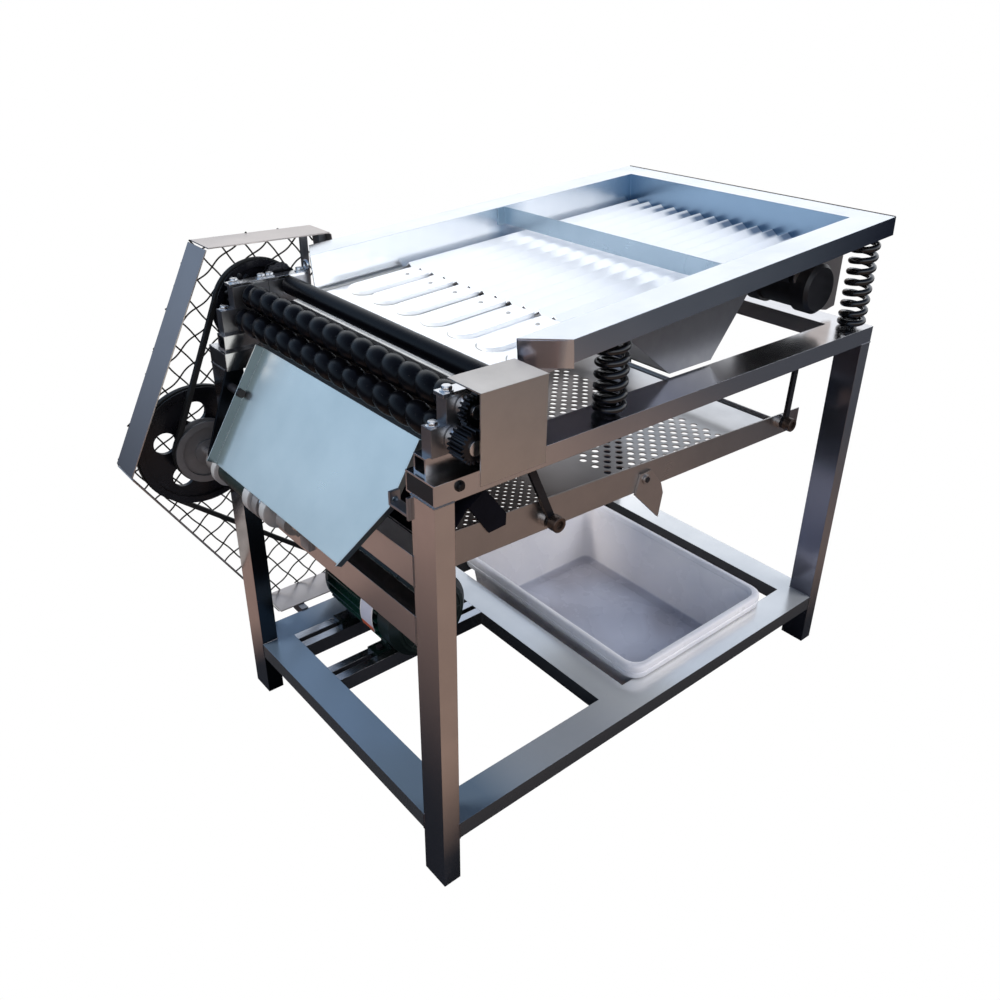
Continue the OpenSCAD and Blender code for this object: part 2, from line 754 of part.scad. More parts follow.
// Flat strips along the outline, butted at the corners
module guard_rim() color([0.55, 0.57, 0.64]) placed() {
    n = len(guard_outline);
    for (i = [0:n - 1]) {
        a = guard_outline[i];
        b = guard_outline[(i + 1) % n];
        dir = atan2(b[1] - a[1], b[0] - a[0]);
        across(guard_y0, guard_y1) translate(a) rotate(dir)
            translate([1.5 * sheet, 0]) square([norm(b - a) - 3 * sheet, sheet]);
    }
}

// Lattice of flat wires on the guard's outer face
module guard_mesh() color([0.15, 0.13, 0.12]) placed() {
    span = 1000;
    across(guard_y1, guard_y1 + mesh_wire) {
        intersection() {
            polygon(guard_outline);
            translate([guard_outline[2][0] - 1, counter_z - 25]) for (lean = [34, -56]) rotate(lean)
                for (k = [-16:16]) translate([-span / 2, k * mesh_pitch - mesh_wire / 2])
                    square([span, mesh_wire]);
        }
        difference() {
            polygon(guard_outline);
            offset(delta = -2 * mesh_wire) polygon(guard_outline);
        }
    }
}

strap_w = 14;
strap_t = 4;

// Straps from the top rail and the base rail to the guard's rim
module guard_brackets() color([0.5, 0.5, 0.52]) placed() {
    for (x = [guard_outline[4][0] - 52, guard_outline[4][0] - 16]) {
        translate([x, far, top_z + 6]) cube([strap_w, guard_in + 20, strap_t]);
        translate([x, far + guard_in + 16, top_z + 6 + strap_t])
            cube([strap_w, strap_t, guard_top(x + strap_w / 2) - top_z - 6 - strap_t - 3 * sheet]);
    }
    for (x = [guard_outline[2][0] + 39, guard_outline[3][0] - 70])
        translate([x, far, base_z + rail_h / 2])
            cube([strap_w, guard_in + 20, guard_low - base_z - rail_h / 2 - touch]);
}
function guard_top(x) = guard_outline[0][1] + (guard_outline[4][1] - guard_outline[0][1])
    * (x - guard_outline[0][0]) / (guard_outline[4][0] - guard_outline[0][0]);

// ---- Motor ----

foot_t = 10;
case_y1 = motor_foot_y(1) + 25;
case_y0 = case_y1 - case_len;
rotor_r = 46;
fan_gap = 4;

module motor_body() color([0.03, 0.14, 0.09]) placed() {
    across(case_y0, case_y1) translate(motor_axis) difference() {
        union() {
            circle(case_r);
            for (i = [0:fins - 1]) rotate(i * 360 / fins) translate([0, -1.3])
                square([fin_r, 2.6]);
        }
        circle(rotor_r + 16);
    }
    // feet
    for (y = [motor_foot_y(0), motor_foot_y(1)]) difference() {
        across(y - 17, y + 17) difference() {
            translate([motor_x - foot_span / 2 - 15, base_top])
                square([foot_span + 30, foot_t + 6]);
            translate(motor_axis) circle(case_r - 1);
        }
        for (dx = [-foot_span / 2, foot_span / 2]) translate([motor_x + dx, y, base_top - 1]) {
            cylinder(r = bolt_r + 0.5, h = foot_t + 8);
            translate([-15, -18, foot_t + 1]) cube([30, 36, 20]);
        }
    }
    // stator, pressed in the case
    across(case_y0 + 25, case_y1 - 25) translate(motor_axis) difference() {
        circle(rotor_r + 16);
        circle(rotor_r + 0.6);
    }
}

// End shield at the shaft end and fan cover at the other
module motor_end_covers() color([0.04, 0.05, 0.05]) placed() {
    turned(motor_axis, case_y1) polygon([[motor_shaft_r + run_fit, 0], [fin_r - 3, 0],
        [fin_r - 3, 10], [fin_r - 22, 20], [32, 24], [32, 30], [motor_shaft_r + run_fit, 30]]);
    turned(motor_axis, case_y0 - end_cover - 12) polygon([[0, 0], [fin_r - 16, 0], [fin_r - 3, 14],
        [fin_r - 3, end_cover + 12], [motor_shaft_r + run_fit, end_cover + 12],
        [motor_shaft_r + run_fit, end_cover - 6], [fin_r - 9, end_cover - 6],
        [fin_r - 9, 16], [fin_r - 20, 4], [0, 4]]);
}

// Box on the motor's side for its wires, with a cable gland
module terminal_box() color([0.04, 0.12, 0.08]) placed() {
    y = (case_y0 + case_y1) / 2;
    translate([motor_x + fin_r + touch, y - 42, motor_axis[1] - 6]) cube([36, 84, 66]);
    translate([motor_x + fin_r + 18, y, motor_axis[1] - 22]) cylinder(r = 11, h = 16);
}

// Shaft with the rotor in the stator and the fan in its cover
module motor_rotor() color([0.6, 0.6, 0.6]) placed() {
    bar(motor_axis, motor_shaft_r, case_y0 - end_cover - 4, lower_belt_y + pulley_w / 2 + 3);
    across(case_y0 + 25, case_y1 - 25) translate(motor_axis) difference() {
        circle(rotor_r);
        circle(motor_shaft_r - 1);
    }
    across(case_y0 - end_cover - 2, case_y0 - end_cover + 14) translate(motor_axis)
        for (i = [0:6]) rotate(i * 360 / 7) translate([0, -2]) square([fin_r - 14 - fan_gap, 4]);
}

// ---- Rollers and drive shaft ----

// Rubber sleeve with rounded ridges along it
module spiral_rubber(axis) {
    n = floor((rubber_y1 - rubber_y0) / spiral_pitch * 2 + 0.01);
    core = spiral_r - spiral_cord_r;
    turned(axis, 0) difference() {
        union() {
            translate([0, rubber_y0]) square([core, rubber_y1 - rubber_y0]);
            for (i = [0:n - 1]) translate([core,
                rubber_y0 + spiral_cord_r + i * (rubber_y1 - rubber_y0 - 2 * spiral_cord_r) / (n - 1)])
                circle(spiral_cord_r, $fn = 24);
        }
        translate([-50, -50]) square([50 + shaft_r + seat_fit, rubber_y1 + 100]);
    }
}

module upper_roller_rubber() color([0.03, 0.03, 0.04]) placed() spiral_rubber(upper_axis);
module lower_roller_rubber() color([0.03, 0.03, 0.04]) placed() spiral_rubber(lower_axis);

module upper_roller_shaft() color([0.75, 0.75, 0.75]) placed()
    bar(upper_axis, shaft_r, inner_gear_y - 2, sprocket_y + sprocket_t / 2 + 4);

module lower_roller_shaft() color([0.75, 0.75, 0.75]) placed()
    bar(lower_axis, shaft_r, drive_gear_y - 2, far - block_in + 7);

// Roller gear on the near side and chain wheel on the far side
module upper_roller_gears() color([0.12, 0.12, 0.12]) placed() {
    gear(upper_axis, roller_teeth, upper_phase, inner_gear_y, inner_gear_y + gear_t);
    sprocket(upper_axis, 0);
}

module lower_roller_gear() color([0.12, 0.12, 0.12]) placed()
    gear(lower_axis, roller_teeth, lower_phase, drive_gear_y, inner_gear_y + gear_t);

module feed_roller() color([0.03, 0.03, 0.04]) placed() {
    bar(feed_axis, feed_r, rubber_y0, rubber_y1);
    bar(feed_axis, shaft_r, block_in - 6, rubber_y0);
    bar(feed_axis, shaft_r, rubber_y1, sprocket_y + sprocket_t / 2 + 4);
}

module feed_sprocket() color([0.12, 0.12, 0.12]) placed() sprocket(feed_axis, 15);

module drive_shaft() color([0.75, 0.75, 0.75]) placed()
    bar(drive_axis, shaft_r, drive_gear_y - 2, upper_belt_y + pulley_w / 2 + 3);

module drive_gear() color([0.12, 0.12, 0.12]) placed()
    gear(drive_axis, drive_teeth, drive_phase, drive_gear_y, drive_gear_y + gear_t);

module top_pulley() color([0.06, 0.06, 0.07]) placed()
    pulley(drive_axis, top_belt_r, upper_belt_y, shaft_r + seat_fit, top_hub_r, top_web);

// ---- Countershaft ----

module countershaft() color([0.7, 0.7, 0.7]) placed()
    bar(counter_axis, shaft_r, bearing_y[0] - 6, lower_belt_y + pulley_w / 2 + 4);

module small_pulley() color([0.35, 0.38, 0.43]) placed()
    pulley(counter_axis, small_belt_r, upper_belt_y, shaft_r + seat_fit, small_hub_r, pulley_web);

module big_pulley() color([0.05, 0.05, 0.06]) placed() difference() {
    pulley(counter_axis, big_belt_r, lower_belt_y, shaft_r + seat_fit, big_hub_r, pulley_web);
    for (i = [0:pulley_holes - 1])
        bar(counter_axis + polar(pulley_hole_at, 90 + i * 360 / pulley_holes), pulley_hole_d / 2,
            lower_belt_y - 10, lower_belt_y + 10);
}

eye_play = 2.4;         // room for the rise of the sieve's pin at the ends of its swing
ring_y = [push_y - 8, push_y + 8];
eccentric_axis = counter_axis - [0, throw];

// Eccentric with a cheek at each side of the push rod's ring
module eccentric() color([0.7, 0.7, 0.68]) placed() difference() {
    union() {
        bar(eccentric_axis, eccentric_r, ring_y[0], ring_y[1]);
        for (y = [ring_y[0] - 5, ring_y[1] + touch]) bar(counter_axis, eccentric_r + throw + 2,
            y, y + 5 - touch);
        for (y = [ring_y[0] - touch, ring_y[1]]) bar(eccentric_axis, eccentric_r, y, y + touch);
    }
    bar(counter_axis, shaft_r + seat_fit, ring_y[0] - 10, ring_y[1] + 10);
}

module motor_pulley() color([0.06, 0.06, 0.07]) placed()
    pulley(motor_axis, motor_belt_r, lower_belt_y, motor_shaft_r + seat_fit, small_hub_r, pulley_web);

// ---- Feed tray ----

module tray_frame() translate([tray_front, 0, tray_z]) rotate([0, -tray_slope, 0]) children();

// Corners cut off the open front ends of the rim: inner and outer point
near_cut = [[7, rim_w], [55, 0]];
far_cut = [[2, rim_w], [31, 0]];
near_end_h = 40;

module tray_shell() color([0.8, 0.85, 0.9]) placed() {
    tray_frame() difference() {
        tray_channels();
        // mitred weld seams at the hopper's corners
        for (p = [[0, -45], [far, 45]]) translate([tray_len, p[0], -100]) rotate([0, 0, p[1]])
            translate([-200, -seam / 2, 0]) cube([300, seam, 200]);
    }
    // spring seats, welded under the rim
    for (x = [front_spring_x, frame_length - rear_spring_in]) for (y = spring_y) {
        top = rim_under(x);
        translate([x, y, top - seat_t]) intersection() {
            cylinder(r = spring_r + 1.5, h = 40);
            translate([0, 0, seat_t]) rotate([0, -tray_slope, 0])
                translate([-50, -50, -50]) cube([100, 100, 50]);
        }
    }
}

module tray_channels() {
    // rim
    translate([0, 0, -sheet]) linear_extrude(sheet)
        polygon([near_cut[1], [tray_len, 0], [tray_len, far], [far_cut[1][0], far],
            [far_cut[0][0], floor_y1], [tray_len - rim_w, floor_y1], [tray_len - rim_w, floor_y0],
            [near_cut[0][0], floor_y0]]);
    // skirt
    translate([near_cut[1][0], 0, -skirt]) cube([tray_len - near_cut[1][0], sheet, skirt - sheet]);
    translate([far_cut[1][0], far - sheet, -skirt])
        cube([tray_len - far_cut[1][0], sheet, skirt - sheet]);
    translate([tray_len - sheet, sheet, -skirt]) cube([sheet, far - 2 * sheet, skirt - sheet]);
    // inner walls down to the floor
    wall_h = tray_depth + sheet;
    translate([near_cut[0][0], floor_y0 - sheet, -wall_h])
        cube([tray_len - rim_w - near_cut[0][0] + sheet, sheet, wall_h - sheet]);
    translate([far_cut[0][0], floor_y1, -wall_h])
        cube([tray_len - rim_w - far_cut[0][0] + sheet, sheet, wall_h - sheet]);
    translate([tray_len - rim_w, floor_y0, -wall_h])
        cube([sheet, tray_width, wall_h - sheet]);
    // end plates under the cut ends of the rim
    front_plate(near_cut, near_end_h);
    translate([0, far, 0]) mirror([0, 1, 0]) front_plate(far_cut, skirt);
}

module front_plate(cut, deep) {
    a = cut[0] - [0, sheet];
    b = cut[1];
    n = [b[1] - a[1], a[0] - b[0]] / norm(b - a) * sheet;
    translate([0, 0, -deep]) linear_extrude(deep - sheet) polygon([a, b, b - n, a - n]);
}

spring_y = [27, far - 27];
function rim_under(x) = tray_z + (x - tray_front) * tan(tray_slope) - sheet / cos(tray_slope)
    - spring_r * tan(tray_slope) - 0.5;

// Plain front floor with its lip, then the ridged floor
module tray_floor() color([0.95, 0.96, 0.98]) placed() tray_frame() {
    y0 = floor_y0 + touch;
    translate([-lip_out, rim_w + 7, -tray_depth - sheet]) cube([lip_out, tray_width - 14, sheet]);
    translate([0, y0, -tray_depth - sheet])
        cube([plain_len - lip_out - seam, tray_width - 2 * touch, sheet]);
    u0 = plain_len - lip_out;
    translate([u0, 0, -tray_depth]) rotate([90, 0, 90])
        linear_extrude(tray_len - rim_w - u0) ridge_profile(y0);
}

module ridge_profile(y0) {
    w = tray_width - 2 * touch;
    p = w / ridges;
    top = [for (i = [0:ridges - 1]) each [[y0 + i * p, 0], [y0 + (i + 0.5) * p, ridge_h]]];
    under = [for (i = [ridges - 1:-1:0]) each [[y0 + (i + 0.5) * p, ridge_h - 2.6], [y0 + i * p, -sheet]]];
    polygon(concat(top, [[y0 + w, 0], [y0 + w, -sheet]], under));
}

module tray_gate() color([0.6, 0.68, 0.77]) placed() tray_frame() {
    translate([gate_at, floor_y0 + touch, -gate_h]) cube([sheet, tray_width - 2 * touch, gate_h]);
    // end tabs, spot welded to the walls
    for (y = [floor_y0 + touch, floor_y1 - touch - sheet]) translate([gate_at - 16, y, -gate_h])
        cube([16, sheet, gate_h]);
}

// Guides with rounded front ends, on the plain floor
module lane_guides() color([0.93, 0.94, 0.96]) placed() tray_frame()
    translate([0, 0, -tray_depth]) for (i = [0:guides - 1]) {
        y = floor_y0 + (i + 0.75) * guide_pitch;
        u1 = plain_len - lip_out - touch;
        linear_extrude(guide_h) {
            translate([u1 - guide_len + guide_w / 2, y - guide_w / 2])
                square([guide_len - guide_w / 2, guide_w]);
            translate([u1 - guide_len + guide_w / 2, y]) circle(guide_w / 2);
        }
    }

hanger_plate_y = rail_w + 1.5;
hanger_low = frame_height + tray_lift + 2;
hanger_foot_w = 100;
hanger_foot = tray_front + gate_at - 90;
hanger_flare = [107, 85];
hanger_x0 = hanger_foot - hanger_flare[0];
hanger_x1 = hanger_foot + hanger_foot_w + hanger_flare[1];
// how much higher the ridged floor's underside is at the hanger plates than in its valleys
valley_rise = (hanger_plate_y - floor_y0 - touch) * (ridge_h - 2.6 + sheet) / (ridge_pitch / 2);
function floor_under(x) = tray_z + (x - tray_front) * tan(tray_slope)
    - (tray_depth + sheet) / cos(tray_slope) - 0.2;

// Plates that hang from the floor beside the top rails and carry a cross plate
module tray_hangers() color([0.5, 0.48, 0.45]) placed() {
    both_sides() across(hanger_plate_y, hanger_plate_y + sheet)
        polygon([[hanger_x0, floor_under(hanger_x0) + valley_rise],
            [hanger_x1, floor_under(hanger_x1) + valley_rise],
            [hanger_foot + hanger_foot_w, hanger_low], [hanger_foot, hanger_low]]);
    translate([hanger_foot, hanger_plate_y + sheet, hanger_low])
        cube([hanger_foot_w, far - 2 * (hanger_plate_y + sheet), sheet]);
}

vib_axis = [vib_x, tray_z + (vib_x - tray_front) * tan(tray_slope) - tray_depth - sheet - 10 - vib_cover_r];

// Vibrator with its mounting block and two hollow weight covers
module vibrator_motor() color([0.35, 0.37, 0.4]) placed() {
    y0 = vib_y + vib_cover_len;
    difference() {
        union() {
            bar(vib_axis, vib_r, y0, y0 + vib_len);
            across(y0 + 6, y0 + vib_len - 6) polygon([[vib_x - 34, vib_axis[1]],
                [vib_x + 34, vib_axis[1]], [vib_x + 60, floor_under(vib_x + 60)],
                [vib_x - 60, floor_under(vib_x - 60)]]);
        }
        bar(vib_axis, shaft_r + run_fit, y0 - 1, y0 + vib_len + 1);
    }
    turned(vib_axis, vib_y) polygon([[0, 0], [vib_cover_r - 6, 0], [vib_cover_r, 6],
        [vib_cover_r, vib_cover_len], [vib_cover_r - 3, vib_cover_len], [vib_cover_r - 3, 6.5],
        [vib_cover_r - 7, 3], [0, 3]]);
    turned(vib_axis, y0 + vib_len) polygon([[0, vib_cover_len], [vib_cover_r - 6, vib_cover_len],
        [vib_cover_r, vib_cover_len - 6], [vib_cover_r, 0], [vib_cover_r - 3, 0],
        [vib_cover_r - 3, vib_cover_len - 6.5], [vib_cover_r - 7, vib_cover_len - 3],
        [0, vib_cover_len - 3]]);
    for (y = [y0 - 3, y0 + vib_len]) across(y, y + 3) translate(vib_axis) difference() {
        circle(vib_cover_r - 3.1);
        circle(shaft_r + 2);
    }
}

// Shaft with a half-disc weight at each end
module vibrator_weights() color([0.55, 0.55, 0.55]) placed() {
    y0 = vib_y + vib_cover_len;
    bar(vib_axis, shaft_r, y0 - vib_cover_len + 6, y0 + vib_len + vib_cover_len - 6);
    for (y = [y0 - 22, y0 + vib_len + 6]) across(y, y + 16) translate(vib_axis) difference() {
        circle(vib_cover_r - 9);
        translate([-60, 0]) square([120, 60]);
        circle(shaft_r - 1);
    }
}

// ---- Springs ----

// Ribbed sleeve of the coil's outer shape
module spring(x, y, turns) {
    h = rim_under(x) - seat_t - frame_height;
    step = (h - 2 * spring_wire) / turns;
    mid = spring_r - spring_wire;
    translate([x, y, frame_height]) rotate_extrude() {
        translate([mid - 2, 0]) square([4, h]);
        for (i = [0:turns]) translate([mid, spring_wire + i * step])
            circle(spring_wire, $fn = 24);
    }
}

module front_springs() color([0.04, 0.04, 0.05]) placed()
    for (y = spring_y) spring(front_spring_x, y, front_turns);

module rear_springs() color([0.04, 0.04, 0.05]) placed()
    for (y = spring_y) spring(frame_length - rear_spring_in, y, rear_turns);

// ---- Sieve ----

module sieve_frame() translate([sieve_front, 0, sieve_z]) rotate([0, sieve_slope, 0]) children();

module sieve_walls() color([0.55, 0.5, 0.46]) placed() {
    both_sides() {
        sieve_frame() across(sieve_y0, sieve_y0 + sheet)
            polygon([[0, 0], [sieve_len, 0], [sieve_len, wall_back_h], [0, wall_front_h]]);
        for (p = [front_low, rear_low]) {
            bar(p, 13, sieve_y0 - 7, sieve_y0);
            bar(p, pin_r, hanger_y - 1, sieve_y0 - 7);
            bar(p, 9, hanger_y - 7, hanger_y - 1);
        }
    }
    sieve_frame() {
        translate([0, sieve_y0 + sheet + seam, 0])
            cube([sheet, sieve_y1 - sieve_y0 - 2 * (sheet + seam), wall_front_h - 12]);
        translate([sieve_len - 77, sieve_y0 + sheet + seam, wall_back_h - 8])
            rotate([-90, 0, 0]) cylinder(r = pin_r, h = sieve_y1 - sieve_y0 - 2 * (sheet + seam));
    }
    // black bent baffle on the near wall
    across(sieve_y0 - sheet, sieve_y0)
        translate([sieve_front, sieve_z]) polygon([[60, 83], [88, 102], [125, 52], [124, 34], [95, 32]]);
    // lugs and pin for the push rod
    for (y = [push_y - 16, push_y + 12]) across(y, y + 4)
        translate([push_x - 12, push_pin_z - 9]) square([24, sieve_under(push_x) - push_pin_z + 9]);
    bar([push_x, push_pin_z], pin_r, push_y - 12, push_y + 12);
    // pin of the outlet flap
    bar(flap_pin, pin_r - 1, sieve_y0 - 5, sieve_y0);
    bar(flap_pin, 8, sieve_y0 - 8, sieve_y0 - 5);
}
function sieve_under(x) = sieve_z - (x - sieve_front) * tan(sieve_slope) - 0.4;

module sieve_floor() color([0.6, 0.57, 0.53]) placed() sieve_frame()
    translate([sheet + seam, 0, 0]) linear_extrude(sheet) difference() {
        translate([0, sieve_y0 + sheet + seam])
            square([sieve_len - sheet, sieve_y1 - sieve_y0 - 2 * (sheet + seam)]);
        n = floor((sieve_y1 - sieve_y0 - 50) / hole_pitch);
        m = floor((sieve_len - blank_end) / hole_pitch);
        for (i = [0:m - 1]) for (j = [0:n - (i % 2) - 1]) {
            u = 40 + i * hole_pitch;
            if (abs(u - blank_at) > blank_w / 2)
                translate([u, (sieve_y0 + sieve_y1) / 2 + (j - (n - 1 - (i % 2)) / 2) * hole_pitch])
                    circle(d = hole_d, $fn = 6);
        }
    }

// Flat bar with an eye at each end, from a to b in XZ
module hanger(a, b, low_fit) both_sides() across(hanger_y, hanger_y + hanger_t) {
    dir = atan2(b[1] - a[1], b[0] - a[0]);
    difference() {
        union() {
            translate(a) circle(link_half);
            translate(b) circle(link_half + 2);
            translate(a) rotate(dir) translate([0, -link_half + 3])
                square([norm(b - a), 2 * link_half - 6]);
        }
        translate(a) circle(pin_r + run_fit);
        translate(b) circle(pin_r + low_fit);
    }
}

module front_links() color([0.08, 0.08, 0.08]) placed() hanger(front_top, front_low, run_fit);
module rear_links() color([0.08, 0.08, 0.08]) placed() hanger(rear_top, rear_low, touch);

// Lugs under the top rails, each with the pin that a link swings on
module hanger_lugs() color([0.5, 0.5, 0.5]) placed() both_sides() for (p = [front_top, rear_top]) {
    across(hanger_y + hanger_t + 1, hanger_y + hanger_t + 6) {
        translate(p) circle(link_half);
        translate(p - [link_half, 0]) square([2 * link_half, top_z - p[1]]);
    }
    bar(p, pin_r, hanger_y - 1, hanger_y + hanger_t + 1);
    bar(p, 9, hanger_y - 6, hanger_y - 1);
}

// Ring round the eccentric and a bar to the slotted eye at the sieve
module push_rod() color([0.4, 0.4, 0.42]) placed() {
    ring_r = eccentric_r + ring_wall;
    eye_h = pin_r + throw + eye_play;
    eye_l = 2 * throw + 1;
    eye = [push_x, push_pin_z - throw];
    across(ring_y[0] + touch, ring_y[1] - touch) difference() {
        union() {
            translate(eccentric_axis) circle(ring_r);
            polygon([eccentric_axis + [ring_r * 0.8, -9], eye - [eye_l, 9],
                eye + [-eye_l, 9], eccentric_axis + [ring_r * 0.8, 11]]);
            translate(eye) stadium(eye_l, eye_h + 4.5);
        }
        translate(eccentric_axis) circle(eccentric_r + run_fit);
        translate(eye) stadium(eye_l, eye_h);
    }
}
module stadium(half, r) {
    translate([-half, 0]) circle(r);
    translate([half, 0]) circle(r);
    translate([-half, -r]) square([2 * half, 2 * r]);
}

module outlet_flap() color([0.62, 0.56, 0.5]) placed()
    across(sieve_y0 - 5 + touch, sieve_y0 - touch) difference() {
        translate(flap_pin) polygon([[-13, 12], [11, 13], [39, -20], [46, -40], [39, -84], [-22, -23]]);
        translate(flap_pin) circle(pin_r - 1 + run_fit);
    }

// ---- Tub ----

module rounded_block(x0, x1, y0, y1, r) for (x = [x0 + r, x1 - r]) for (y = [y0 + r, y1 - r])
    translate([x, y, 0]) cylinder(r = r, h = 0.1, $fn = 32);

// Tapered body between a foot and a rim outline that is inset all round
module tub_body(inset, z0) {
    t = tub_taper + inset;
    e = tub_over + inset;
    hull() {
        translate([0, 0, z0]) rounded_block(t, tub_l - t, t, tub_w - t, 18);
        translate([0, 0, tub_h - tub_band]) rounded_block(e, tub_l - e, e, tub_w - e, 26);
        translate([0, 0, tub_h - 0.1]) rounded_block(e - 2, tub_l - e + 2, e - 2, tub_w - e + 2, 26);
    }
}

module tub() color([0.93, 0.94, 0.95]) placed() translate([tub_x, tub_y, 0]) difference() {
    union() {
        tub_body(0, 0);
        translate([0, 0, tub_h - tub_band]) linear_extrude(tub_band) difference() {
            rim_outline(0);
            rim_outline(tub_wall);
        }
        translate([0, 0, tub_h - tub_wall]) linear_extrude(tub_wall) rim_outline(0);
    }
    translate([0, 0, 0.1]) tub_body(tub_wall, tub_wall);
}
module rim_outline(inset) {
    r = 30 - inset;
    for (x = [inset + r, tub_l - inset - r]) for (y = [inset + r, tub_w - inset - r])
        translate([x, y]) circle(r);
    translate([inset + r, inset]) square([tub_l - 2 * (inset + r), tub_w - 2 * inset]);
    translate([inset, inset + r]) square([tub_l - 2 * inset, tub_w - 2 * (inset + r)]);
}

legs();
top_rails();
cross_rails();
base_rails();
rail_plugs();
motor_rails();
bearing_tubes();
lower_blocks();
upper_blocks();
clamp_bars();
clamp_bolts();
gear_cover();
roller_chain();
chute();
chute_brackets();
frame_bolts();
countershaft_bearings();
upper_belt();
lower_belt();
guard_rim();
guard_mesh();
guard_brackets();
motor_body();
motor_end_covers();
terminal_box();
hanger_lugs();
upper_roller_rubber();
upper_roller_shaft();
upper_roller_gears();
lower_roller_rubber();
lower_roller_shaft();
lower_roller_gear();
feed_roller();
feed_sprocket();
drive_shaft();
drive_gear();
top_pulley();
countershaft();
small_pulley();
big_pulley();
eccentric();
motor_rotor();
motor_pulley();
tray_shell();
tray_floor();
tray_gate();
lane_guides();
tray_hangers();
vibrator_motor();
vibrator_weights();
front_springs();
rear_springs();
sieve_walls();
sieve_floor();
front_links();
rear_links();
push_rod();
outlet_flap();
tub();
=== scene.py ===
"""Belt-driven pea sheller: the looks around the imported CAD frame. Metres, row frame."""
import math

import bmesh
import bpy
from mathutils import Matrix, Vector


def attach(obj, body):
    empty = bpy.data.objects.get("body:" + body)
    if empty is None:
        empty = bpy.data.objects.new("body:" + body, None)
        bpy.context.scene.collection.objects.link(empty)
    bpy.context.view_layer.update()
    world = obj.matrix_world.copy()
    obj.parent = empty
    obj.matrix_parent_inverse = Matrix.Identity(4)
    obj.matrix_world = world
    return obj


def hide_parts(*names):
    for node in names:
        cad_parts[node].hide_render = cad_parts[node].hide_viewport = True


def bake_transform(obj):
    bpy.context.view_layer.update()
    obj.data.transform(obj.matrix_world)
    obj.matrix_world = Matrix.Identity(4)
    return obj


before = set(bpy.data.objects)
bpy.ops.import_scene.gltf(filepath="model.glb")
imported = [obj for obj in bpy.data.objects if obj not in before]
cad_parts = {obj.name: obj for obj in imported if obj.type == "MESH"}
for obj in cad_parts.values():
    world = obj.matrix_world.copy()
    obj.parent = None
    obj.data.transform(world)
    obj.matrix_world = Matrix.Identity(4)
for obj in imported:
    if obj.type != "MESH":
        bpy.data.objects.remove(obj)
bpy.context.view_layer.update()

# The CAD source's drawing frame, in mm, has its corner under the near roller leg
DRAWING_ORIGIN = Vector((0.4135, 0.3425, 0.0))
MM = 0.001


def at(x, y, z):
    """A point of the drawing frame, given in mm."""
    return Vector((x, y, z)) * MM - DRAWING_ORIGIN


# ---- Materials ----


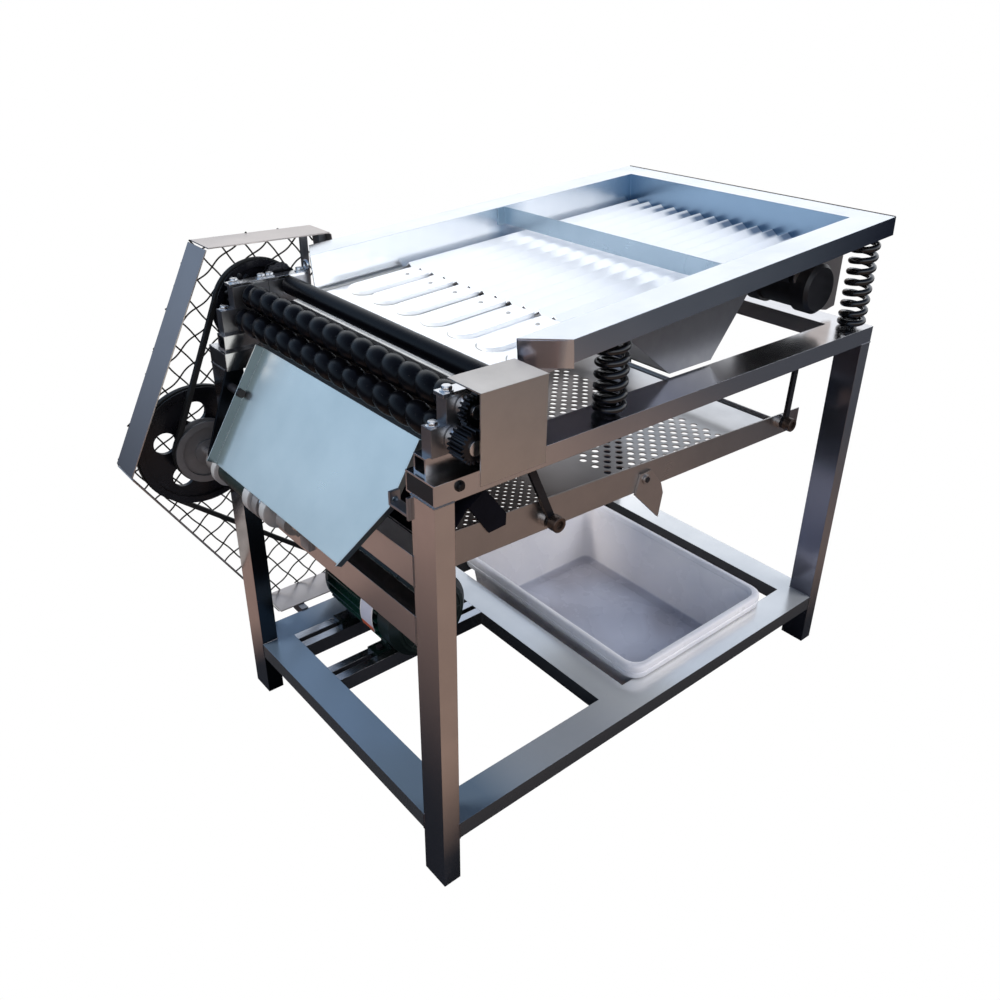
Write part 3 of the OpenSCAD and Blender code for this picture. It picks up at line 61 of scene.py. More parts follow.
class Shader:
    """A procedural material, built from a few kinds of node."""

    def __init__(self, name):
        self.material = bpy.data.materials.new(name)
        self.material.use_nodes = True
        self.nodes = self.material.node_tree.nodes
        self.links = self.material.node_tree.links
        self.surface = self.nodes["Principled BSDF"]
        self.place = self.nodes.new("ShaderNodeTexCoord").outputs["Object"]

    def set(self, **values):
        for socket, value in values.items():
            self.surface.inputs[socket.replace("_", " ")].default_value = value

    def join(self, source, target):
        self.links.new(source, target)

    def noise(self, scale, detail=3.0, stretch=(1, 1, 1), roughness=0.5):
        """A noise from 0 to 1; a stretch below 1 draws it out along that axis."""
        mapping = self.nodes.new("ShaderNodeMapping")
        mapping.inputs["Scale"].default_value = stretch
        texture = self.nodes.new("ShaderNodeTexNoise")
        texture.inputs["Scale"].default_value = scale
        texture.inputs["Detail"].default_value = detail
        texture.inputs["Roughness"].default_value = roughness
        self.join(self.place, mapping.inputs["Vector"])
        self.join(mapping.outputs["Vector"], texture.inputs["Vector"])
        return texture.outputs["Fac"]

    def ramp(self, source, low, high, start=0.3, end=0.7):
        """Maps a value from start..end to low..high."""
        node = self.nodes.new("ShaderNodeMapRange")
        node.inputs["From Min"].default_value = start
        node.inputs["From Max"].default_value = end
        node.inputs["To Min"].default_value = low
        node.inputs["To Max"].default_value = high
        self.join(source, node.inputs["Value"])
        return node.outputs["Result"]

    def mix(self, factor, one, two):
        """Mixes two colours, or what sockets give, by a value from 0 to 1."""
        node = self.nodes.new("ShaderNodeMix")
        node.data_type = "RGBA"
        for socket, colour in ((node.inputs[6], one), (node.inputs[7], two)):
            if isinstance(colour, tuple):
                socket.default_value = (*colour, 1)
            else:
                self.join(colour, socket)
        if isinstance(factor, float):
            node.inputs[0].default_value = factor
        else:
            self.join(factor, node.inputs[0])
        return node.outputs[2]

    def math(self, operation, one, two=0.0):
        node = self.nodes.new("ShaderNodeMath")
        node.operation = operation
        for socket, value in ((node.inputs[0], one), (node.inputs[1], two)):
            if isinstance(value, (int, float)):
                socket.default_value = value
            else:
                self.join(value, socket)
        return node.outputs[0]

    def axis(self, name):
        """The X, Y or Z of the surface's point, in metres."""
        node = self.nodes.new("ShaderNodeSeparateXYZ")
        self.join(self.place, node.inputs[0])
        return node.outputs[name]

    def facing(self, way):
        """How far the face looks along a direction, from -1 to 1."""
        normal = self.nodes.new("ShaderNodeTexCoord").outputs["Normal"]
        node = self.nodes.new("ShaderNodeVectorMath")
        node.operation = "DOT_PRODUCT"
        node.inputs[1].default_value = way
        self.join(normal, node.inputs[0])
        return node.outputs["Value"]

    def times(self, one, two):
        return self.math("MULTIPLY", one, two)

    def most(self, one, two):
        return self.math("MAXIMUM", one, two)

    def where(self, *spans):
        """How far all spans are passed, from 0 to 1; a span from high to low runs backwards.

        Each is (X, Y, Z, a direction or a socket; start; end), with two levels after it where
        they aren't 0 and 1.
        """
        share = None
        for source, start, end, *levels in spans:
            if isinstance(source, str):
                source = self.axis(source)
            elif isinstance(source, tuple):
                source = self.facing(source)
            low, high = levels or ((0.0, 1.0) if start < end else (1.0, 0.0))
            value = self.ramp(source, low, high, min(start, end), max(start, end))
            share = value if share is None else self.times(share, value)
        return share

    def bump(self, height, depth, normal=None):
        """Relief of that depth in metres."""
        node = self.nodes.new("ShaderNodeBump")
        node.inputs["Distance"].default_value = depth
        node.inputs["Strength"].default_value = 1.0
        self.join(height, node.inputs["Height"])
        if normal is not None:
            self.join(normal, node.inputs["Normal"])
        return node.outputs["Normal"]

    def rounded(self, radius):
        """Normals as if the edges had that radius."""
        node = self.nodes.new("ShaderNodeBevel")
        node.samples = 3
        node.inputs["Radius"].default_value = radius
        return node.outputs["Normal"]

    def colour(self, source, dim=None):
        """Sets the colour; dim takes the shader and gives where painted reflections and shade change
        it, and their colour there.
        """
        if dim:
            where, painted_colour = dim(self)
            source = self.mix(where, source, painted_colour)
        self.join(source, self.surface.inputs["Base Color"])

    def rough(self, source):
        self.join(source, self.surface.inputs["Roughness"])

    def normal(self, source):
        self.join(source, self.surface.inputs["Normal"])


def steel(name, tone, shade, rough, grain="x", edge=0.0010, wave=0.0002, matt=0.0, dim=None):
    """Bare steel: a faint rolled grain along one axis, smudges and worn, rounded edges; dim paints
    reflections and shade into its colour.
    """
    s = Shader(name)
    s.set(Metallic=1.0 - matt)
    along = {"x": (0.04, 1, 1), "y": (1, 0.04, 1), "z": (1, 1, 0.04), "": (1, 1, 1)}[grain]
    grains = s.ramp(s.noise(900.0, 2.0, along), 0.35, 0.65)
    smudges = s.noise(9.0, 5.0, (1, 1, 1), 0.6)
    s.colour(s.mix(s.ramp(smudges, 0.0, 1.0, 0.35, 0.7), tone, shade), dim)
    s.rough(s.math("ADD", s.ramp(smudges, rough - 0.02, rough + 0.05), s.times(grains, 0.03)))
    s.normal(s.bump(s.noise(5.0, 1.0), wave, s.rounded(edge)))
    return s.material


def paint(name, tone, shade, rough, metal=0.0, edge=0.0008, grit=0.00008, scale=220.0, coat=0.0,
          specular=0.5, dim=None):
    """Paint or dark metal with a fine orange-peel relief; dim paints shade into its colour."""
    s = Shader(name)
    s.set(Metallic=metal, Coat_Weight=coat, Coat_Roughness=0.12, Specular_IOR_Level=specular)
    clouds = s.noise(18.0, 5.0, (1, 1, 1), 0.6)
    peel = s.noise(scale, 3.0)
    s.colour(s.mix(s.ramp(clouds, 0.0, 1.0), tone, shade), dim)
    s.rough(s.ramp(clouds, rough - 0.05, rough + 0.08))
    s.normal(s.bump(peel, grit, s.rounded(edge)))
    return s.material


# The masks below fit the steel's tones to the photograph's one view. Each gives where a
# material differs and the colour it has there.
LEFT, FRONT, UP = (-1.0, 0.0, 0.0), (0.0, -1.0, 0.0), (0.0, 0.0, 1.0)
CHUTE_WAY, GUARD_WAY = (-0.854, 0.0, 0.521), (-0.892, 0.0, 0.452)
# These colours are painted light: painted reflections and painted shade, set into the base colour by
# the masks.
LEG_SHADE_GREY, LEG_SHADE_DARK = (0.20, 0.21, 0.26), (0.035, 0.045, 0.055)
RAIL_REFLECTION_GREY = (0.42, 0.43, 0.52)
BASE_REFLECTION_BLUE, BASE_SHADE_DARK = (0.17, 0.24, 0.33), (0.10, 0.10, 0.105)
SIEVE_SHADE_BLACK, FEET_SHADE_BLACK, LIP_REFLECTION_BLACK = (0.003, 0.003, 0.004), (0.0015, 0.004, 0.0035), (0.01, 0.01, 0.012)
FLAP_SHADE_DARK, CHUTE_SHADE_DARK, GUARD_SHADE_DARK = (0.10, 0.08, 0.07), (0.16, 0.21, 0.24), (0.35, 0.31, 0.31)
SHEET_SHADE_DARK, CHEEK_SHADE_DARK = (0.13, 0.105, 0.095), (0.04, 0.05, 0.065)
WALL_REFLECTION_BLUE, VALLEY_SHADE_BLUE = (0.26, 0.37, 0.49), (0.18, 0.24, 0.33)
CORNER_REFLECTION_BROWN, SKIRT_SHADE_DARK = (0.60, 0.55, 0.58), (0.09, 0.11, 0.17)
RIDGE_Y = 0.0602 - 0.3425
RIDGE_PITCH = 0.5046 / 15


def mask(colour, *spans):
    """A mask of one colour, where all the spans of Shader.where are passed."""
    return lambda s: (s.where(*spans), colour)


# Painted reflection: the top rails are darker on top where they mirror the dark underside of the tray
painted_top_rail_reflection = mask(RAIL_REFLECTION_GREY, (UP, 0.8, 0.95), ("Z", 0.6, 0.65), ("X", -0.30, -0.24),
                     ("X", 0.16, 0.02))
# Painted shade: the sieve's near end is black where it lies in the dark under the rollers
painted_sieve_end_shade = mask(SIEVE_SHADE_BLACK, (LEFT, 0.5, 0.8), ("X", -0.33, -0.36))
# Painted shade on the motor's feet, the flap's upper edge, the chute's lips, the guard's slanting
# front face and the cheek plate on the belt side
painted_motor_feet_shade = mask(FEET_SHADE_BLACK, ("Z", 0.15, 0.135))
painted_flap_shade = mask(FLAP_SHADE_DARK, (UP, 0.5, 0.8))
painted_chute_lip_shade = mask(CHUTE_SHADE_DARK, (CHUTE_WAY, 0.92, 0.80))
painted_guard_front_shade = mask(GUARD_SHADE_DARK, (GUARD_WAY, 0.80, 0.92))
painted_far_bracket_shade = mask(CHEEK_SHADE_DARK, ("Y", 0.0, 0.1))


def painted_leg_shade(s):
    """Painted shade and dark reflection: the near end leg is darker to the left, the far legs to the
    front.
    """
    inner = s.where((FRONT, 0.6, 0.8), ("Y", -0.2, 0.2))
    near_end = s.where((LEFT, 0.6, 0.8), ("X", -0.3, 0.3))
    return s.most(near_end, inner), s.mix(inner, LEG_SHADE_GREY, LEG_SHADE_DARK)


def painted_base_reflections(s):
    """Painted reflection and shade: bottom rails bright on top towards the hopper, blue at the rollers,
    dark beside.
    """
    side = s.where((UP, 0.8, 0.5))
    return s.most(side, s.where(("X", 0.0, -0.32))), s.mix(side, BASE_REFLECTION_BLUE, BASE_SHADE_DARK)


def painted_sheet_shade(s):
    """Painted shade: the sieve's sheet is dark under the rollers and lighter at its far end."""
    behind = s.where(("Y", -0.10, 0.04, 0.0, 0.95), ("X", 0.42, 0.30))
    return s.most(s.where(("X", 0.36, -0.12)), behind), SHEET_SHADE_DARK


def painted_floor_shade(s):
    """Painted shade: the floor's valleys darken towards its far wall; painted reflection: its lip is
    dark under the feed roller.
    """
    across = s.math("FRACT", s.math("DIVIDE", s.math("SUBTRACT", s.axis("Y"), RIDGE_Y), RIDGE_PITCH))
    valleys = s.where(("X", 0.478, 0.496), (across, 0.04, 0.16), (across, 0.48, 0.38))
    lip = s.where(("X", -0.2865, -0.2890))
    return s.most(valleys, lip), s.mix(lip, VALLEY_SHADE_BLUE, LIP_REFLECTION_BLACK)


def painted_tray_reflections(s):
    """Painted reflections and shade: blue far wall and ends of the side wall behind, brown near corner,
    dark near skirt.
    """
    wall = s.where((LEFT, 0.80, 0.92), ("X", 0.25, 0.30))
    gate_end = s.where(("X", 0.125, 0.160, 0.0, 0.8), ("X", 0.225, 0.162))
    ends = s.most(gate_end, s.where(("X", 0.40, 0.51)))
    wall = s.most(wall, s.times(s.where((FRONT, 0.70, 0.90), ("Y", 0.0, 0.1)), ends))
    corner = s.where((UP, 0.8, 0.5), ("X", -0.198, -0.206), ("Y", 0.0, -0.1))
    skirt = s.where((FRONT, 0.8, 0.9), ("Y", -0.31, -0.33), ("X", 0.1, 0.55, 0.25, 1.0))
    tone = s.mix(skirt, s.mix(corner, WALL_REFLECTION_BLUE, CORNER_REFLECTION_BROWN), SKIRT_SHADE_DARK)
    return s.most(wall, s.most(corner, skirt)), tone


MATERIALS = {
    "frame_x": steel("frame_steel_x", (0.72, 0.71, 0.72), (0.64, 0.63, 0.64), 0.17, "x",
                     dim=painted_top_rail_reflection),
    "base": steel("base_steel", (0.97, 0.95, 0.92), (0.90, 0.89, 0.87), 0.20, "x", matt=0.4,
                  dim=painted_base_reflections),
    "frame_y": steel("frame_steel_y", (0.72, 0.71, 0.72), (0.64, 0.63, 0.64), 0.17, "y"),
    "frame_z": steel("frame_steel_z", (0.72, 0.70, 0.70), (0.64, 0.62, 0.62), 0.17, "z",
                     dim=painted_leg_shade),
    "block": steel("block_steel", (0.42, 0.42, 0.43), (0.30, 0.30, 0.32), 0.32, "y"),
    "bright": steel("bright_steel", (0.86, 0.86, 0.86), (0.74, 0.74, 0.75), 0.16, ""),
    "cover": steel("cover_steel", (0.72, 0.67, 0.62), (0.62, 0.57, 0.52), 0.34, "x"),
    "gear": steel("gear_steel", (0.055, 0.055, 0.06), (0.03, 0.03, 0.035), 0.32, ""),
    "chute": steel("chute_steel", (0.97, 0.96, 0.88), (0.90, 0.91, 0.84), 0.28, "y", 0.0012,
                   dim=painted_chute_lip_shade),
    "tray": steel("tray_steel", (0.91, 0.93, 0.95), (0.85, 0.88, 0.91), 0.20, "x",
                  dim=painted_tray_reflections),
    # Painted reflection: the gate's steel is tinted blue, as if it mirrored the sky
    "gate": steel("gate_steel", (0.42, 0.52, 0.60), (0.38, 0.48, 0.56), 0.26, "y"),
    "sieve": steel("sieve_steel", (0.55, 0.53, 0.52), (0.47, 0.45, 0.44), 0.28, "x",
                   dim=painted_sieve_end_shade),
    "flap": steel("flap_steel", (0.60, 0.56, 0.54), (0.50, 0.47, 0.45), 0.30, "x", dim=painted_flap_shade),
    "guard": steel("guard_steel", (0.66, 0.58, 0.53), (0.56, 0.50, 0.46), 0.30, "z",
                   dim=painted_guard_front_shade),
    "sheet": steel("sieve_sheet_steel", (0.66, 0.66, 0.67), (0.56, 0.56, 0.57), 0.28, "x",
                   dim=painted_sheet_shade),
    "bracket": steel("bracket_steel", (0.42, 0.44, 0.48), (0.32, 0.33, 0.37), 0.28, "",
                     dim=painted_far_bracket_shade),
    "plug": paint("plug_plastic", (0.004, 0.004, 0.005), (0.009, 0.009, 0.010), 0.5),
    "black": paint("black_steel", (0.008, 0.008, 0.010), (0.020, 0.020, 0.024), 0.30, 0.4),
    "cast_grey": paint("cast_grey", (0.26, 0.25, 0.25), (0.19, 0.18, 0.18), 0.40, 0.45),
    # Painted shade: the drive shaft's steel is near black, as it lies in shade among the rollers
    "dark_steel": steel("dark_steel", (0.06, 0.06, 0.07), (0.035, 0.035, 0.04), 0.2, "y"),
    "sleeve": paint("sleeve_brown", (0.11, 0.075, 0.06), (0.07, 0.05, 0.04), 0.3, 0.7),
    "cast_black": paint("cast_black", (0.005, 0.005, 0.007), (0.012, 0.012, 0.016), 0.24, 0.2),
    "belt": paint("belt_rubber", (0.004, 0.004, 0.004), (0.009, 0.009, 0.009), 0.55, 0.0, 0.001),
    "rubber": paint("roller_rubber", (0.0008, 0.0008, 0.0012), (0.0016, 0.0016, 0.0024), 0.27, 0.0,
                    0.001, 0.00008, 160.0, 0.0, 0.15),
    "wire": paint("mesh_wire", (0.030, 0.025, 0.022), (0.06, 0.05, 0.04), 0.40, 0.6),
    "green": paint("motor_green", (0.004, 0.022, 0.016), (0.002, 0.013, 0.010), 0.24, 0.0, 0.001,
                   0.0001, 180.0, 0.3, dim=painted_motor_feet_shade),
    "motor_black": paint("motor_black", (0.005, 0.010, 0.009), (0.009, 0.016, 0.014), 0.34),
    "spring": paint("spring_black", (0.002, 0.002, 0.0025), (0.004, 0.004, 0.005), 0.16, 0.0,
                    0.0004, 0.00004, 300.0, 0.5),
    "tray_floor": steel("tray_floor_steel", (0.90, 0.91, 0.92), (0.85, 0.865, 0.88), 0.34, "x", 0.0012,
                        0.0001, 0.9, painted_floor_shade),
    "seam": paint("seam_grey", (0.42, 0.42, 0.41), (0.36, 0.36, 0.35), 0.5),
    "collar": paint("collar_grey", (0.50, 0.50, 0.50), (0.40, 0.40, 0.40), 0.36, 0.4),
    "screw": steel("screw_steel", (0.30, 0.30, 0.32), (0.22, 0.22, 0.24), 0.3, ""),
    "deflector": paint("deflector_shade_black", (0.003, 0.003, 0.005), (0.006, 0.006, 0.010), 0.6,
                       specular=0.08),
    "vibrator": paint("vibrator_black", (0.006, 0.006, 0.008), (0.012, 0.012, 0.015), 0.36, 0.2),
    "label": paint("label_grey", (0.50, 0.50, 0.56), (0.42, 0.42, 0.50), 0.35),
    "label_rim": paint("label_rim", (0.72, 0.70, 0.70), (0.66, 0.64, 0.64), 0.35),
    "label_strip": paint("label_strip", (0.52, 0.10, 0.045), (0.46, 0.085, 0.04), 0.35),
}


def plastic():
    """Moulded white plastic, with light passing into it and faint scuffs; its floor has painted shade
    and patches of painted glare.
    """
    s = Shader("white_plastic")
    s.set(Subsurface_Weight=0.15, Subsurface_Scale=0.01, Subsurface_Radius=(0.8, 0.8, 0.9), IOR=1.5)
    clouds = s.noise(9.0, 4.0)
    white = s.mix(s.ramp(clouds, 0.0, 1.0), (0.88, 0.84, 0.84), (0.80, 0.77, 0.79))
    # Painted shade and highlight: the tub's floor is darker, with patches of painted glare
    low = s.where(("Z", 0.03, 0.006), (UP, 0.5, 0.9))
    glare = s.ramp(s.noise(5.0, 1.0), 0.0, 1.0, 0.40, 0.62)
    floor = s.mix(glare, (0.45, 0.44, 0.49), (0.60, 0.61, 0.69))
    s.colour(s.mix(low, white, floor))
    s.rough(s.ramp(s.noise(12.0, 4.0), 0.14, 0.40))
    s.normal(s.bump(s.noise(90.0, 2.0), 0.0001))
    return s.material


MATERIALS["tub"] = plastic()

NODE_MATERIALS = {
    "frame_x": ["top_rails", "motor_rails", "bearing_tubes"],
    "base": ["base_rails"],
    "frame_y": ["cross_rails", "hanger_lugs"],
    "frame_z": ["legs"],
    "plug": ["rail_plugs"],
    "block": ["lower_blocks", "upper_blocks", "guard_brackets", "tray_hangers"],
    "bracket": ["chute_brackets"],
    "bright": ["clamp_bars", "clamp_bolts", "upper_roller_shaft", "lower_roller_shaft",
               "countershaft", "vibrator_weights", "motor_rotor", "eccentric"],
    "dark_steel": ["drive_shaft"],
    "cover": ["gear_cover"],
    "gear": ["roller_chain", "upper_roller_gears", "lower_roller_gear", "drive_gear",
             "feed_sprocket"],
    "chute": ["chute"],
    "black": ["frame_bolts", "front_links", "rear_links"],
    "cast_grey": ["countershaft_bearings", "small_pulley", "push_rod"],
    "vibrator": ["vibrator_motor"],
    "belt": ["upper_belt", "lower_belt"],
    "guard": ["guard_rim"],
    "wire": ["guard_mesh"],
    "green": ["motor_body", "terminal_box"],
    "motor_black": ["motor_end_covers"],
    "rubber": ["upper_roller_rubber", "lower_roller_rubber", "feed_roller"],
    "cast_black": ["top_pulley", "big_pulley", "motor_pulley"],
    "tray": ["tray_shell"],
    "gate": ["tray_gate"],
    "tray_floor": ["tray_floor", "lane_guides"],
    "spring": ["front_springs", "rear_springs"],
    "sieve": ["sieve_walls", "sieve_floor"],
    "flap": ["outlet_flap"],
    "tub": ["tub"],
}


def finish_nodes():
    """Gives every CAD node its material, on the object and not on its mesh."""
    for key, names in NODE_MATERIALS.items():
        for name in names:
            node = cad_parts[name]
            if not node.material_slots:
                node.data.materials.append(None)
            for slot in node.material_slots:
                slot.link = "OBJECT"
                slot.material = MATERIALS[key]


# ---- Mesh helpers ----


def piece(name, points, faces, material, body, replaces=(), smooth=True, slot=None):
    """A mesh piece that rides on a body."""
    mesh = bpy.data.meshes.new(name)
    mesh.from_pydata([tuple(p) for p in points], [], faces)
    mesh.validate()
    shape = bmesh.new()
    shape.from_mesh(mesh)
    bmesh.ops.recalc_face_normals(shape, faces=shape.faces)
    shape.to_mesh(mesh)
    shape.free()
    mesh.polygons.foreach_set("use_smooth", [smooth] * len(mesh.polygons))
    if smooth:
        mesh.set_sharp_from_angle(angle=math.radians(40))
    mesh.materials.append(MATERIALS[material])
    thing = bpy.data.objects.new(name, mesh)
    bpy.context.scene.collection.objects.link(thing)
    if body:
        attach(thing, body)
    if replaces:
        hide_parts(*replaces)
    return thing


def bridged(loops, closed=False):
    """A skin over a list of equally long loops, with both ends filled or joined to a ring."""
    count = len(loops[0])
    verts = [p for loop in loops for p in loop]
    faces = []
    if not closed:
        faces += [tuple(range(count)), tuple(reversed(range(len(verts) - count, len(verts))))]
    for i in range(len(loops) if closed else len(loops) - 1):
        j = (i + 1) % len(loops)
        for k in range(count):
            m = (k + 1) % count
            faces.append((i * count + k, j * count + k, j * count + m, i * count + m))
    return verts, faces


def circle(radius, count):
    turns = [2 * math.pi * t / count for t in range(count)]
    return [(radius * math.cos(turn), radius * math.sin(turn)) for turn in turns]


def sweep(points, radius, sides=10, closed=False):
    """Vertices and faces of a round bar along a line of points."""
    line = [Vector(p) for p in points]
    count = len(line)
    loops = []
    side = None
    for i, p in enumerate(line):
        after = line[(i + 1) % count] if closed or i < count - 1 else p
        before = line[i - 1] if closed or i > 0 else p
        way = (after - before).normalized()
        if side is None:
            side = way.orthogonal().normalized()
        side = (side - way * side.dot(way)).normalized()
        up = way.cross(side)
        r = radius(i / max(count - 1, 1)) if callable(radius) else radius
        loops.append([p + side * a + up * b for a, b in circle(r, sides)])
    return bridged(loops, closed)


def merged(parts):
    """Joins several (vertices, faces) pairs into one."""
    verts, faces = [], []
    for v, f in parts:
        shift = len(verts)
        verts.extend(v)
        faces.extend(tuple(i + shift for i in face) for face in f)
    return verts, faces


def lathe(profile, centre, axis, sides=48):
    """A turned solid: profile is a list of (distance along the axis, radius), in mm."""
    way = Vector(axis).normalized()
    side = way.orthogonal().normalized()
    up = way.cross(side)
    return bridged([[centre + (way * along + side * a + up * b) * MM for a, b in circle(r, sides)]
                    for along, r in profile])


def prism(outline, low, high, place):
    """An extruded outline; place turns (a, b, height) into a point."""
    return bridged([[place(a, b, height) for a, b in outline] for height in (low, high)])


def rounded_outline(x0, x1, y0, y1, radius, steps=8):
    """A rectangle with rounded corners, as (x, y) pairs."""
    outline = []
    corners = ((x1, y1, 0), (x0, y1, 90), (x0, y0, 180), (x1, y0, 270))
    for x, y, start in corners:
        cx = x - radius if x == x1 else x + radius
        cy = y - radius if y == y1 else y + radius
        for i in range(steps + 1):
            turn = math.radians(start + 90 * i / steps)
            outline.append((cx + radius * math.cos(turn), cy + radius * math.sin(turn)))
    return outline


def in_xz(x, z, y):
    return at(x, y, z)


def hex_bolt(point, up, shank=0.0, radius=7.0, height=5.2):
    """A hexagon head on a washer, chamfered, with its shank below; sizes in mm."""
    way = Vector(up).normalized()
    side = way.orthogonal().normalized()
    other = way.cross(side)
    sides = 24

    def loop(rise, r, hexagonal):
        points = []
        for k in range(sides):
            turn = 2 * math.pi * k / sides
            reach = r
            if hexagonal:
                reach = r * math.cos(math.pi / 6) / math.cos((turn + math.pi / 6) % (math.pi / 3)
                                                             - math.pi / 6)
            points.append(point + (way * rise + side * (reach * math.cos(turn))
                                   + other * (reach * math.sin(turn))) * MM)
        return points

    loops = []
    if shank:
        loops += [loop(-shank, 3.6, False), loop(-0.1, 3.6, False)]
    loops += [loop(0.0, radius + 1.8, False), loop(1.2, radius + 1.8, False),
              loop(1.4, radius + 1.4, False), loop(1.4, radius * 0.99, True),
              loop(1.2 + height * 0.8, radius, True), loop(1.2 + height, radius * 0.8, False),
              loop(1.25 + height, radius * 0.55, False)]
    return bridged(loops)


# ---- Springs ----

SPRING_R = 0.025
SPRING_WIRE = 0.0056
END_TURN = 0.8
END_RISE = 1.1 * SPRING_WIRE
SPRING_Y = (27.0, 598.0)
SPRING_FOOT = 700.0
SPRINGS = {"front": (322.0, 836.0, 8), "rear": (947.0, 884.7, 10)}


def coil(x, y, low, high, turns, steps=40):
    """The wire of one compression spring, with flat closed ends."""
    r = SPRING_R - SPRING_WIRE
    foot = at(x, y, low)
    height = (high - low) * MM
    points = []
    for i in range(turns * steps + 1):
        turn = i / steps
        share = min(max((turn - END_TURN) / (turns - 2 * END_TURN), 0.0), 1.0)
        rise = SPRING_WIRE + min(turn, END_TURN) / END_TURN * END_RISE
        rise += share * (height - 2 * SPRING_WIRE - 2 * END_RISE)
        rise += max(turn - turns + END_TURN, 0.0) / END_TURN * END_RISE
        angle = 2 * math.pi * turn
        points.append(foot + Vector((r * math.cos(angle), r * math.sin(angle), rise)))
    return sweep(points, SPRING_WIRE, 14)


def make_springs():
    for end, (x, high, turns) in SPRINGS.items():
        for y in SPRING_Y:
            side = "near" if y < 300 else "far"
            verts, faces = coil(x, y, SPRING_FOOT, high, turns)
            spring = piece(f"{end}_coil_{side}", verts, faces, "spring", None,
                           [f"{end}_springs"], slot="spring_black")
            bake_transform(spring)


# ---- Rollers ----

RUBBER_Y = (48.0, 577.0)
ROLLERS = {"lower_roller": (47.0, 745.0), "upper_roller": (63.461, 781.456)}
SPIRAL_R = 0.0195
SPIRAL_DEPTH = 0.0062
SPIRAL_PITCH = 0.038
SPIRAL_STEP = 0.0019
SPIRAL_AROUND = 48
ROLLER_CHAMFER = (0.003, 0.0016)


def make_rollers():
    """The spiral rubber sleeves: one rounded thread that runs round each roller."""
    length = (RUBBER_Y[1] - RUBBER_Y[0]) * MM
    steps = int(length / SPIRAL_STEP)
    along, inward = ROLLER_CHAMFER
    for body, (x, z) in ROLLERS.items():
        start = at(x, RUBBER_Y[0], z)
        loops = []
        for i in range(steps + 1):
            y = length * i / steps
            loop = []
            for k in range(SPIRAL_AROUND):
                turn = 2 * math.pi * k / SPIRAL_AROUND
                phase = (y / SPIRAL_PITCH + k / SPIRAL_AROUND) % 1.0 - 0.5
                crest = math.sqrt(max(1 - (2 * phase) ** 2, 0.0))
                r = SPIRAL_R - SPIRAL_DEPTH * (1 - crest) ** 0.9
                fade = min(y, length - y) / along
                r = min(r, SPIRAL_R - inward * max(1 - fade, 0.0))
                loop.append(start + Vector((r * math.cos(turn), y, r * math.sin(turn))))
            loops.append(loop)
        piece(f"{body}_spiral", *bridged(loops), "rubber", body, [f"{body}_rubber"],
              slot="black_rubber")


# ---- Belt guard ----

GUARD_OUTLINE = [(25, 850), (-156, 493), (71, 118), (320, 118), (250, 846)]
GUARD_Y = 713.5
MESH_PITCH = 34.0
MESH_ORIGIN = (70.0, 480.0)
MESH_LEAN = (34.0, -56.0)
MESH_WIRE = 1.45
MESH_CRIMP = 1.3
MESH_BOW = (2.4, 0.9)
MESH_INSET = 1.5
MESH_STEP = 3.0


def clip_to_outline(origin, way):
    """Where a line of the mesh enters and leaves the guard's outline, along the line."""
    cuts = []
    count = len(GUARD_OUTLINE)
    for i in range(count):
        ax, az = GUARD_OUTLINE[i]
        bx, bz = GUARD_OUTLINE[(i + 1) % count]
        ex, ez = bx - ax, bz - az
        cross = way[0] * ez - way[1] * ex
        if abs(cross) < 1e-9:
            continue
        dx, dz = ax - origin[0], az - origin[1]
        along = (dx * ez - dz * ex) / cross
        share = (dx * way[1] - dz * way[0]) / cross
        if 0 <= share <= 1:
            cuts.append(along)
    return (min(cuts), max(cuts)) if len(cuts) >= 2 else None


def make_guard_mesh():
    """Crimped wires woven over and under each other, cut to the guard's outline."""
    parts = []
    for family, lean in enumerate(MESH_LEAN):
        angle = math.radians(lean)
        way = (math.cos(angle), math.sin(angle))
        side = (-way[1], way[0])
        for k in range(-16, 17):
            origin = (MESH_ORIGIN[0] + side[0] * k * MESH_PITCH,
                      MESH_ORIGIN[1] + side[1] * k * MESH_PITCH)
            ends = clip_to_outline(origin, way)
            if ends is None or ends[1] - ends[0] < 2 * MESH_STEP:
                continue
            low, high = ends[0] + MESH_INSET, ends[1] - MESH_INSET
            steps = max(int((high - low) / MESH_STEP), 2)
            points = []
            for i in range(steps + 1):
                s = low + (high - low) * i / steps
                wave = math.cos(math.pi * (s / MESH_PITCH + k + family))
                bow = MESH_BOW[family] * math.cos(math.pi * (s / MESH_PITCH + k + 0.5))
                points.append(at(origin[0] + way[0] * s + side[0] * bow,
                                 GUARD_Y + MESH_CRIMP * wave,
                                 origin[1] + way[1] * s + side[1] * bow))
            parts.append(sweep(points, MESH_WIRE * MM, 7))
    verts, faces = merged(parts)
    piece("guard_weave", verts, faces, "wire", "frame", ["guard_mesh"], slot="mesh_wire")


# ---- Sieve sheet ----

SIEVE_FRONT, SIEVE_Z, SIEVE_LEN = 36.0, 528.0, 842.0
SIEVE_SLOPE = math.radians(1.5)
SIEVE_SIDES = (62.0, 563.0)
SIEVE_ZONES = [(12.0, 286.0, 8.75, 3.3, 12), (410.0, 712.0, 14.5, 6.6, 16)]


